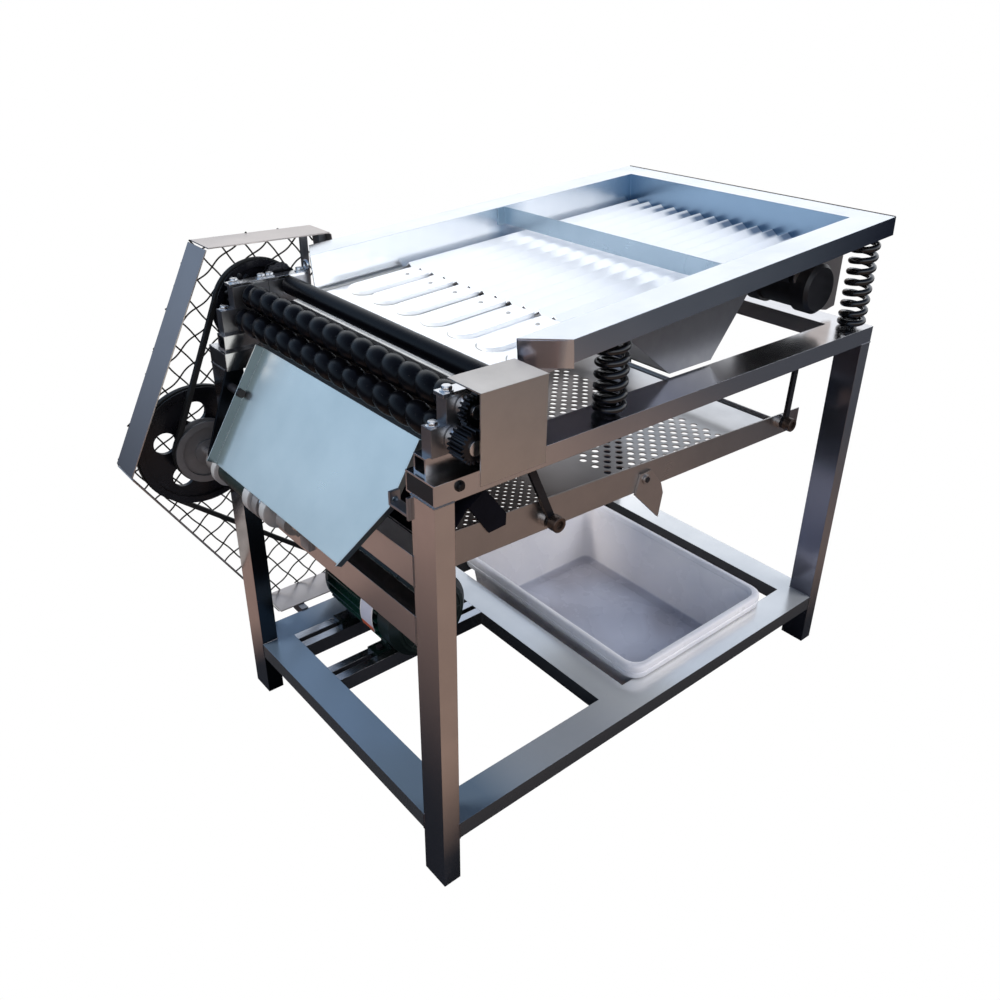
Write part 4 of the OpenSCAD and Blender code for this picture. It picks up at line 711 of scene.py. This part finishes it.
def make_sieve_sheet():
    """The perforated floor: round holes in staggered rows, cut by a curve's own fill."""
    curve = bpy.data.curves.new("sieve_outline", "CURVE")
    curve.dimensions = "2D"
    curve.fill_mode = "BOTH"
    curve.extrude = 0.001

    def loop(points):
        spline = curve.splines.new("POLY")
        spline.points.add(len(points) - 1)
        for p, (u, y) in zip(spline.points, points):
            p.co = (u * MM, y * MM, 0, 1)
        spline.use_cyclic_u = True

    y0, y1 = SIEVE_SIDES
    loop([(2.5, y0 + 0.1), (SIEVE_LEN, y0 + 0.1), (SIEVE_LEN, y1 - 0.1), (2.5, y1 - 0.1)])
    for start, end, row, hole, corners in SIEVE_ZONES:
        for i in range(int((end - start) / row)):
            u = start + i * row
            y = y0 + row * (1 + i % 2)
            while y < y1 - row:
                loop([(u + a, y + b) for a, b in circle(hole, corners)])
                y += 2 * row
    flat = bpy.data.objects.new("sieve_flat", curve)
    bpy.context.scene.collection.objects.link(flat)
    bpy.context.view_layer.update()
    mesh = bpy.data.meshes.new_from_object(flat.evaluated_get(
        bpy.context.evaluated_depsgraph_get()))
    bpy.data.objects.remove(flat)
    sheet = bpy.data.objects.new("sieve_sheet", mesh)
    mesh.name = "sieve_sheet"
    mesh.transform(Matrix.Translation(at(SIEVE_FRONT, 0, SIEVE_Z + 1))
                   @ Matrix.Rotation(SIEVE_SLOPE, 4, "Y"))
    mesh.materials.clear()
    mesh.materials.append(MATERIALS["sheet"])
    bpy.context.scene.collection.objects.link(sheet)
    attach(sheet, "sieve")
    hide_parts("sieve_floor")


# ---- Deflector over the sieve ----

DEFLECTOR = [(38, 545), (96, 611.6), (124, 631), (161.5, 580), (160, 579), (124, 628.6), (97.4, 610),
             (39.4, 543.6)]
DEFLECTOR_Y, DEFLECTOR_END_Y = (60.5, 562.5), (57.2, 60.6)
DEFLECTOR_END = [(95.5, 611), (124, 630.6), (161.6, 580), (160.6, 561.6), (130.6, 559.5)]


def make_deflector():
    """The black folded plate that throws the peas back onto the sieve, and its near end; its near-black
    also paints the deep shade over the sieve.
    """
    parts = [prism(DEFLECTOR, *DEFLECTOR_Y, in_xz), prism(DEFLECTOR_END, *DEFLECTOR_END_Y, in_xz)]
    piece("deflector", *merged(parts), "deflector", "sieve", smooth=False, slot="black_steel")


# ---- Tub ----

TUB_X = (463.0, 853.0)
TUB_Y = (47.5, 562.5)
# Inset, height and corner radius from the foot over the rim to the middle of the floor
TUB_SKIN = [(27, 0, 24), (25.4, 0.8, 26), (24.6, 3, 27), (9.2, 114, 34), (8.8, 117.4, 34),
            (2.2, 117.6, 31), (0.8, 118.2, 30), (0.1, 120, 30), (0, 128, 30), (1.6, 129.6, 30),
            (1.6, 131.2, 30), (0, 132.8, 30), (0, 140.5, 30), (0.6, 143, 30), (2.2, 144.6, 30),
            (4.5, 145, 30), (9.5, 145, 28), (11.4, 144.3, 27), (12.4, 142.5, 26), (12.8, 137, 26),
            (14, 135.6, 26), (15.6, 134.8, 26), (16.4, 132.5, 26), (28.6, 11, 22), (30, 7.5, 22),
            (33, 5.2, 22), (38, 4.2, 20), (52, 4, 18), (53, 4.6, 18), (56, 4.8, 18), (120, 4.8, 14)]


def make_tub():
    loops = []
    for inset, z, radius in TUB_SKIN:
        outline = rounded_outline(TUB_X[0] + inset, TUB_X[1] - inset, TUB_Y[0] + inset,
                                  TUB_Y[1] - inset, radius)
        loops.append([at(x, y, z) for x, y in outline])
    piece("white_tub", *bridged(loops), "tub", "tub", ["tub"], slot="white_plastic")


# ---- Bolts ----

TOP_BOLTS = (43.0, 89.5, 104.1, 159.0)
FRONT_BOLT = 21.5
BLOCK_Y = (30.0, 595.0)
CLAMP_TOP, SPLIT_TOP, TUBE_TOP = 803.0, 763.0, 725.0
EYE_BOLT = (171.5, 595.0)
EYE_RING = (811.0, 7.0, 2.3)


def make_bolts():
    """The bolts over the bearing blocks, with washers, and the eye bolt beside them."""
    parts = []
    for y in BLOCK_Y:
        for x in TOP_BOLTS:
            parts.append(hex_bolt(at(x, y, CLAMP_TOP), (0, 0, 1), 14.0))
        parts.append(hex_bolt(at(FRONT_BOLT, y, SPLIT_TOP), (0, 0, 1), 12.0))
    x, y = EYE_BOLT
    height, radius, wire = EYE_RING
    parts.append(sweep([at(x, y, TUBE_TOP), at(x, y, height - radius)], 3 * MM, 16))
    parts.append(sweep([at(x, y + b, height + c) for b, c in circle(radius, 32)], wire * MM, 10, True))
    piece("block_bolts", *merged(parts), "bright", "frame", ["clamp_bolts"], slot="bright_steel")


# ---- Countershaft collars ----

COUNTER = (-22.0, 505.0)
COLLARS = [(430.5, 450.0, 30.0), (378.0, 395.0, 29.0), (553.0, 567.0, 29.0)]
SPACER = (450.0, 553.0, 22.0)


def make_collars():
    """Turned collars and a spacer tube that hold the countershaft along Y."""
    low, high, radius = SPACER
    tube = lathe([(0, radius), (high - low, radius)], at(COUNTER[0], low, COUNTER[1]), (0, 1, 0))
    piece("shaft_spacer", *tube, "motor_black", "countershaft", slot="black_steel")
    parts = []
    for low, high, radius in COLLARS:
        profile = [(0, 9), (0, radius - 1.5), (1.2, radius), (high - low - 1.2, radius),
                   (high - low, radius - 1.5), (high - low, 9)]
        parts.append(lathe(profile, at(COUNTER[0], low, COUNTER[1]), (0, 1, 0)))
    piece("shaft_collars", *merged(parts), "collar", "countershaft", slot="cast_grey")


# ---- Roller ends and dark bolts ----

DARK_BOLT_R = 5.5
DARK_BOLTS = [("frame", (38.0, -0.2, 689.0)), ("outlet_flap", (451.0, 56.0, 538.0)),
              ("frame", (826.6, 45.5, 660.0))]


def make_ends():
    """Turned collars where the roller shafts leave the near blocks, and some dark bolts."""
    for body, (x, z) in ROLLERS.items():
        profile = [(0, 10.3), (0, 15.5), (1, 16.5), (10.5, 16.5), (11.5, 15.5), (11.5, 10.3)]
        piece(f"{body}_collar", *lathe(profile, at(x, 19.6, z), (0, -1, 0), 40), "bright", body,
              slot="bright_steel")
    for i, (body, point) in enumerate(DARK_BOLTS):
        piece(f"dark_bolt_{i + 1}", *hex_bolt(at(*point), (0, -1, 0), 0.0, DARK_BOLT_R, 4.0), "black",
              body, slot="black_steel")


# ---- Strips that close the view through the rollers ----

STRIPS = {"chute_strip": [(56.3, 706.1), (61.5, 714.6), (58.9, 716.2), (53.7, 707.7)],
          "stripper_plate": [(82.0, 715.0), (85.0, 715.0), (85.0, 757.0), (82.0, 757.0)]}
STRIP_Y = {"chute_strip": (98.0, 540.0), "stripper_plate": (40.0, 585.0)}


def make_strips():
    """A rubber strip on the chute's upper edge and a black plate behind the lower roller; their black
    also paints the shade in the gaps round the rollers.
    """
    for name, corners in STRIPS.items():
        loops = [[at(x, y, z) for x, z in corners] for y in STRIP_Y[name]]
        piece(name, *bridged(loops), "belt", "frame", smooth=False, slot="belt_rubber")


# ---- Sieve links ----

LINK_SLEEVES = {"front_links": (242.0, 541.0), "rear_links": (820.0, 535.0)}


def make_sleeves():
    """Hollow sleeves at the lower ends of the links that carry the sieve."""
    for body, (x, z) in LINK_SLEEVES.items():
        parts = []
        for low, out in ((46.2, -1), (578.8, 1)):
            profile = [(-1, 5.4), (-1, 11.6), (0, 12.4), (13, 12.4), (14, 11.4), (14, 7.0), (9, 6.4),
                       (9, 0.5)]
            parts.append(lathe(profile, at(x, low, z), (0, out, 0), 32))
        piece(f"{body}_sleeves", *merged(parts), "sleeve", body, slot="sieve_steel")


# ---- Motor details ----

MOTOR = (228.0, 205.0)
FIN_R = 88.0
LABEL_Y = (404.0, 444.0)
FAN_Y = 341.6
FAN_RINGS = (16, 28, 40, 52, 64)


def curved_plate(radius, start, end, low, high, thick):
    """A plate bent round the motor between two angles and two places along Y."""
    steps = 12
    loops = []
    for y in (low, high):
        loop = []
        for r, turns in ((radius, range(steps + 1)), (radius + thick, range(steps, -1, -1))):
            for i in turns:
                angle = math.radians(start + (end - start) * i / steps)
                loop.append(at(MOTOR[0] + r * math.cos(angle), y, MOTOR[1] + r * math.sin(angle)))
        loops.append(loop)
    return bridged(loops)


def make_motor_details():
    """A bare nameplate, the fan cover's rings, the terminal box's lid and its gland."""
    y0, y1 = LABEL_Y
    piece("label_rim", *curved_plate(FIN_R + 0.2, 161, 199, y0, y1, 1.0), "label_rim", "frame",
          slot="bright_steel")
    piece("label_field", *curved_plate(FIN_R + 1.0, 163, 191, y0 + 3, y1 - 3, 0.6), "label", "frame",
          slot="bright_steel")
    piece("label_strip", *curved_plate(FIN_R + 1.0, 191.6, 198.6, y0 + 1, y1 - 1, 0.6),
          "label_strip", "frame", slot="bright_steel")
    parts = []
    for radius in FAN_RINGS:
        ring = [at(MOTOR[0] + a, FAN_Y, MOTOR[1] + c) for a, c in circle(radius, 48)]
        parts.append(sweep(ring, 1.5 * MM, 8, True))
    for k in range(8):
        turn = math.pi * k / 4
        spoke = [at(MOTOR[0] + r * math.cos(turn), FAN_Y - 0.2, MOTOR[1] + r * math.sin(turn))
                 for r in (10, 38, 66)]
        parts.append(sweep(spoke, 1.3 * MM, 8))
    piece("fan_grille", *merged(parts), "motor_black", "frame", slot="motor_black")
    lid = rounded_outline(439.5, 519.5, 201.0, 263.0, 6.0, 5)
    parts = [prism(lid, 351.9, 356.0, lambda a, b, h: at(h, a, b))]
    parts += [hex_bolt(at(356.0, y, z), (1, 0, 0), 0.0, 3.2, 2.2)
              for y in (447.0, 512.0) for z in (208.5, 255.5)]
    piece("terminal_lid", *merged(parts), "green", "frame", slot="motor_green")
    gland = [(0, 11.5), (3, 12.5), (9, 12.5), (10, 10.0), (14, 9.0), (16, 7.0), (16, 3.0)]
    piece("cable_gland", *lathe(gland, at(334.0, 479.5, 184.0), (0, 0, -1), 24), "motor_black",
          "frame", slot="black_plastic")


# ---- Tray details ----

TRAY_FRONT, TRAY_Z = 165.0, 832.0
TRAY_SLOPE = math.radians(4.46)
FLOOR_TOP = -62.0
GUIDE_TOP = FLOOR_TOP + 7.0
TRAY_LEN = 762.0
TRAY_END = 818.0
SEAM_Y = (61.6, 562.2)
GUIDE_W = 50.0
GUIDE_U = (40.0, 179.0)
SCREW_U = 150
GUIDES = [60.0 + (i + 0.75) * 505.0 / 7.5 for i in range(7)]


def on_tray(u, y, v):
    """A point on the tray: u along it from its front, v above its rim, in mm."""
    c, s = math.cos(TRAY_SLOPE), math.sin(TRAY_SLOPE)
    return at(TRAY_FRONT + u * c - v * s, y, TRAY_Z + u * s + v * c)


def make_tray_details():
    """The lane guides' screws, lines of painted shade round the guides, the floor's seams as strips of
    painted shadow, and a painted dark line along the rim's far end.
    """
    up = Vector((-math.sin(TRAY_SLOPE), 0, math.cos(TRAY_SLOPE)))
    heads = []
    for y in GUIDES:
        profile = [(0, 3.6), (0.8, 3.6), (1.8, 2.6), (2.1, 1.0)]
        heads.append(lathe(profile, on_tray(SCREW_U, y, GUIDE_TOP), up, 20))
    piece("guide_screws", *merged(heads), "seam", "feed_tray", slot="bright_steel")
    seams = []
    # Painted shadow: thin grey strips in the seams between the floor and the side walls
    for y in SEAM_Y:
        low = [on_tray(u, y + side * 1.6, FLOOR_TOP + 0.1)
               for u, side in ((0, -1), (0, 1), (TRAY_LEN, 1), (TRAY_LEN, -1))]
        seams.append(bridged([low, [p + up * 0.004 for p in low]]))
    piece("floor_seam_shadows", *merged(seams), "seam", "feed_tray", slot="tray_steel")
    # Painted shade: a thin grey line round the foot of each lane guide
    edges = []
    for y in GUIDES:
        u0, u1 = GUIDE_U[0] + GUIDE_W / 2, GUIDE_U[1]
        outline = [(u1, y + GUIDE_W / 2)]
        for i in range(17):
            turn = math.radians(90 + 180 * i / 16)
            outline.append((u0 + GUIDE_W / 2 * math.cos(turn), y + GUIDE_W / 2 * math.sin(turn)))
        outline.append((u1, y - GUIDE_W / 2))
        edges.append(sweep([on_tray(u, b, FLOOR_TOP + 0.4) for u, b in outline], 0.9 * MM, 6))
    piece("guide_shade_lines", *merged(edges), "seam", "feed_tray", slot="tray_steel")
    # Painted shade: a thin dark line along the rim's far end
    edge = [on_tray(TRAY_END, y, 0.2) for y in (1.0, 624.0)]
    piece("rim_shade_line", *sweep(edge, 0.7 * MM, 6), "sleeve", "feed_tray", slot="tray_steel")


# The bracket that hangs beside the vibrator's near cover
VIBRATOR_PLATE = [(838, 822), (838, 790), (846, 776), (852, 790), (862, 805), (878, 813), (895, 812),
                  (910, 803), (919, 788), (921, 770), (915, 752), (902, 738), (884, 731), (905, 722),
                  (930, 718), (960, 712), (986, 716), (986, 828), (930, 828)]
VIBRATOR_PLATE_Y = (88.0, 91.0)


def make_vibrator_plate():
    piece("vibrator_bracket", *prism(VIBRATOR_PLATE, *VIBRATOR_PLATE_Y, in_xz), "guard", "feed_tray",
          smooth=False, slot="guard_steel")


# ---- Roller chain ----

CHAIN_ENDS = ((104.862, 741.005), (130.061, 787.956))
CHAIN_R = 24.53
CHAIN_Y = 618.0
CHAIN_LINKS = 20
LINK_R, LINK_WAIST, LINK_THICK = 5.3, 3.9, 1.0
LINK_GAPS = (4.85, 3.75)


def chain_point(share):
    """A point of the chain's path, by its share of the whole length from 0 to 1."""
    (ax, az), (bx, bz) = CHAIN_ENDS
    span = math.hypot(bx - ax, bz - az)
    half = span + math.pi * CHAIN_R
    run = (share % 1.0) * 2 * half
    if run >= half:
        (ax, az), (bx, bz) = (bx, bz), (ax, az)
        run -= half
    lean = math.atan2(bz - az, bx - ax)
    side = lean - math.pi / 2 + max(run - span, 0.0) / CHAIN_R
    run = min(run, span)
    return (ax + run * math.cos(lean) + CHAIN_R * math.cos(side),
            az + run * math.sin(lean) + CHAIN_R * math.sin(side))


def link_plate(one, two, low, high):
    """A waisted chain plate between two pins."""
    lean = math.atan2(two[1] - one[1], two[0] - one[0])
    outline = []
    for (x, z), start in ((one, lean + math.pi / 2), (two, lean - math.pi / 2)):
        for i in range(9):
            turn = start + math.pi * i / 8
            outline.append((x + LINK_R * math.cos(turn), z + LINK_R * math.sin(turn)))
        middle = ((one[0] + two[0]) / 2, (one[1] + two[1]) / 2)
        side = start + math.pi
        outline.append((middle[0] + LINK_WAIST * math.cos(side),
                        middle[1] + LINK_WAIST * math.sin(side)))
    return prism(outline, low, high, in_xz)


def make_chain():
    parts = []
    pins = [chain_point(i / CHAIN_LINKS) for i in range(CHAIN_LINKS)]
    for i, pin in enumerate(pins):
        after = pins[(i + 1) % CHAIN_LINKS]
        gap = LINK_GAPS[i % 2]
        for side in (-1, 1):
            low, high = sorted((CHAIN_Y + side * gap, CHAIN_Y + side * (gap + LINK_THICK)))
            parts.append(link_plate(pin, after, low, high))
            parts.append(lathe([(0, 2.0), (2.6, 2.0), (2.9, 1.5)],
                               at(pin[0], CHAIN_Y + side * 3.7, pin[1]), (0, side, 0), 12))
    piece("chain_links", *merged(parts), "gear", "frame", ["roller_chain"], slot="chain_steel")


# ---- Welds ----

LENGTH, WIDTH = 980.0, 625.0
LEG_X, LEG_Y = 30.0, 50.0
BASE_Z, RAIL_Z = (85.0, 115.0), 670.0
BEAD_R, BEAD_RIPPLE, BEAD_STEP = 1.35, 0.28, 1.2
CROSS_Z = ((435.0, 483.0), (530.0, 578.0))


def weld(points):
    """A small rippled bead along a line of corners."""
    line = []
    for a, b in zip(points, points[1:]):
        span = (Vector(b) - Vector(a)).length
        steps = max(int(span / BEAD_STEP), 2)
        line += [Vector(a).lerp(Vector(b), i / steps) for i in range(steps)]
    line.append(Vector(points[-1]))
    total = len(line)

    def radius(share):
        return (BEAD_R + BEAD_RIPPLE * math.sin(share * total * 1.3)) * MM

    return sweep([at(*p) for p in line], radius, 7)


def make_welds():
    parts = []
    low, high = BASE_Z
    for x, edge in ((LEG_X, 0.0), (LENGTH - LEG_X, LENGTH)):
        for y, inner in ((0.0, LEG_Y), (WIDTH, WIDTH - LEG_Y)):
            parts.append(weld([(x, y, low), (x, y, high), (x, inner, high)]))
            parts.append(weld([(edge, inner, low), (edge, inner, high), (x, inner, high)]))
            parts.append(weld([(edge, inner, RAIL_Z), (edge, y, RAIL_Z), (x, y, RAIL_Z)]))
    for below, above in CROSS_Z:
        for y in (LEG_Y, WIDTH - LEG_Y):
            parts.append(weld([(0.0, y, below), (0.0, y, above), (LEG_X, y, above)]))
    piece("weld_beads", *merged(parts), "screw", "frame", slot="frame_steel")


# ---- Stage, light and camera ----

CAMERA_AT = (-0.9581, -1.1170, 1.2152)
CAMERA_AZIMUTH, CAMERA_DOWN, CAMERA_ROLL = 48.348, 27.641, 1.455
CAMERA_LENS, CAMERA_SENSOR = 32.70, 36.0
CAMERA_SHIFT = (-0.0256, -0.0273)


def make_camera():
    az, el, roll = (math.radians(v) for v in (CAMERA_AZIMUTH, CAMERA_DOWN, CAMERA_ROLL))
    look = Vector((math.cos(az) * math.cos(el), math.sin(az) * math.cos(el), -math.sin(el)))
    right = look.cross(Vector((0, 0, 1))).normalized()
    up = right.cross(look)
    right2 = right * math.cos(roll) + up * math.sin(roll)
    up2 = up * math.cos(roll) - right * math.sin(roll)
    lens = bpy.data.cameras.new("camera")
    lens.sensor_width = CAMERA_SENSOR
    lens.lens = CAMERA_LENS
    lens.shift_x, lens.shift_y = CAMERA_SHIFT
    lens.clip_start, lens.clip_end = 0.01, 100.0
    camera = bpy.data.objects.new("camera", lens)
    rotation = Matrix((right2, up2, -look)).transposed().to_4x4()
    camera.matrix_world = Matrix.Translation(CAMERA_AT) @ rotation
    bpy.context.scene.collection.objects.link(camera)
    bpy.context.scene.camera = camera


def white_to_camera(tree, shader, white, output):
    """Lets the camera see plain white where every other ray meets the shader."""
    path = tree.nodes.new("ShaderNodeLightPath")
    pick = tree.nodes.new("ShaderNodeMixShader")
    tree.links.new(path.outputs["Is Camera Ray"], pick.inputs[0])
    tree.links.new(shader.outputs[0], pick.inputs[1])
    tree.links.new(white.outputs[0], pick.inputs[2])
    tree.links.new(pick.outputs[0], tree.nodes[output].inputs["Surface"])


# The daylight by the sine of the height: the far side is white over the horizon and deep blue
# above, the other side is pale blue
GROUND_LIGHT = [(-1.0, (0.05, 0.045, 0.045)), (-0.4, (0.12, 0.095, 0.085)),
                (-0.04, (0.20, 0.165, 0.15))]
BRIGHT_SKY = [(0.02, (0.95, 0.98, 1.02)), (0.22, (1.12, 1.15, 1.19)), (0.48, (1.05, 1.10, 1.18)),
              (0.57, (0.72, 0.82, 0.96)), (0.65, (0.26, 0.36, 0.54)), (0.73, (0.12, 0.18, 0.30)),
              (1.0, (0.10, 0.15, 0.27))]
BLUE_SKY = [(0.02, (0.42, 0.56, 0.74)), (0.22, (0.44, 0.62, 0.84)), (0.50, (0.30, 0.45, 0.68)),
            (0.62, (0.17, 0.25, 0.40)), (1.0, (0.14, 0.20, 0.34))]
BLUE_SIDE = (-0.80, 0.60)


def make_world():
    """Daylight for the steel to mirror, blue towards one side; the camera sees plain white."""
    world = bpy.data.worlds.new("daylight")
    bpy.context.scene.world = world
    world.use_nodes = True
    nodes, links = world.node_tree.nodes, world.node_tree.links
    sky = nodes["Background"]
    coordinates = nodes.new("ShaderNodeTexCoord")
    split = nodes.new("ShaderNodeSeparateXYZ")
    links.new(coordinates.outputs["Generated"], split.inputs[0])

    def ranged(source, start, end):
        node = nodes.new("ShaderNodeMapRange")
        node.interpolation_type = "SMOOTHSTEP" if start > -1.0 else "LINEAR"
        node.inputs["From Min"].default_value = start
        node.inputs["From Max"].default_value = end
        links.new(source, node.inputs["Value"])
        return node.outputs["Result"]

    def ramped(stops):
        ramp = nodes.new("ShaderNodeValToRGB")
        while len(ramp.color_ramp.elements) < len(stops):
            ramp.color_ramp.elements.new(0.5)
        for element, (z, colour) in zip(ramp.color_ramp.elements, stops):
            element.position = (z + 1) / 2
            element.color = (*colour, 1)
        links.new(height, ramp.inputs["Fac"])
        return ramp.outputs["Color"]

    height = ranged(split.outputs["Z"], -1.0, 1.0)
    side = nodes.new("ShaderNodeVectorMath")
    side.operation = "DOT_PRODUCT"
    side.inputs[1].default_value = (*BLUE_SIDE, 0.0)
    links.new(coordinates.outputs["Generated"], side.inputs[0])
    pick_side = nodes.new("ShaderNodeMix")
    pick_side.data_type = "RGBA"
    links.new(ranged(side.outputs["Value"], 0.15, 0.75), pick_side.inputs[0])
    links.new(ramped(GROUND_LIGHT + BRIGHT_SKY), pick_side.inputs[6])
    links.new(ramped(GROUND_LIGHT + BLUE_SKY), pick_side.inputs[7])
    links.new(pick_side.outputs[2], sky.inputs["Color"])
    white = nodes.new("ShaderNodeBackground")
    white.inputs["Color"].default_value = (1, 1, 1, 1)
    white_to_camera(world.node_tree, sky, white, "World Output")


# Painted shadow on the ground: dark near and behind the machine and to the east; brown in front and to
# the left
GROUND_SHADE = (0.012, 0.012, 0.015)
GROUND_FRONT = (0.280, 0.185, 0.135)
GROUND_LEFT = (0.230, 0.150, 0.118)
GROUND_EAST_SHADOW = (0.055, 0.055, 0.06)


def make_floor():
    """Ground that the camera sees as plain white; painted shadow darkens it near the machine, and the
    steel mirrors that.
    """
    s = Shader("ground")
    s.set(Roughness=0.9)
    strip = s.where(("Y", 0.32, 0.46), ("X", -0.40, -0.45))
    left = s.times(s.most(s.where(("X", -0.52, -1.05)), strip), s.where(("Y", 0.95, 0.75)))
    near = s.mix(s.where(("Y", -0.38, -0.52)), s.mix(left, GROUND_SHADE, GROUND_LEFT), GROUND_FRONT)
    s.colour(s.mix(s.where(("X", 0.6, 1.6)), near, GROUND_EAST_SHADOW))
    glow = s.nodes.new("ShaderNodeEmission")
    white_to_camera(s.material.node_tree, s.surface, glow, "Material Output")
    half = 15.0
    mesh = bpy.data.meshes.new("ground")
    mesh.from_pydata([(-half, -half, -0.0005), (half, -half, -0.0005), (half, half, -0.0005),
                      (-half, half, -0.0005)], [], [(0, 1, 2, 3)])
    mesh.materials.append(s.material)
    ground = bpy.data.objects.new("ground", mesh)
    bpy.context.scene.collection.objects.link(ground)


LAMPS = [
    ("key", (-1.9, 0.9, 2.6), 0.9, 100.0, (1.0, 0.98, 0.95)),
    ("fill", (1.6, -2.2, 2.4), 1.4, 45.0, (0.95, 0.97, 1.0)),
]


def make_lamps():
    for name, place, size, power, colour in LAMPS:
        lamp = bpy.data.lights.new(name, "AREA")
        lamp.size = size
        lamp.energy = power
        lamp.color = colour
        thing = bpy.data.objects.new(name, lamp)
        thing.location = place
        aim = Vector((0.0, 0.0, 0.5)) - Vector(place)
        thing.rotation_mode = "QUATERNION"
        thing.rotation_quaternion = aim.to_track_quat("-Z", "Y")
        thing.visible_glossy = False
        bpy.context.scene.collection.objects.link(thing)


finish_nodes()
make_springs()
make_rollers()
make_guard_mesh()
make_sieve_sheet()
make_deflector()
make_tub()
make_bolts()
make_collars()
make_ends()
make_strips()
make_sleeves()
make_motor_details()
make_tray_details()
make_vibrator_plate()
make_chain()
make_welds()
make_camera()
make_world()
make_floor()
make_lamps()
bpy.context.scene.view_settings.view_transform = "Standard"
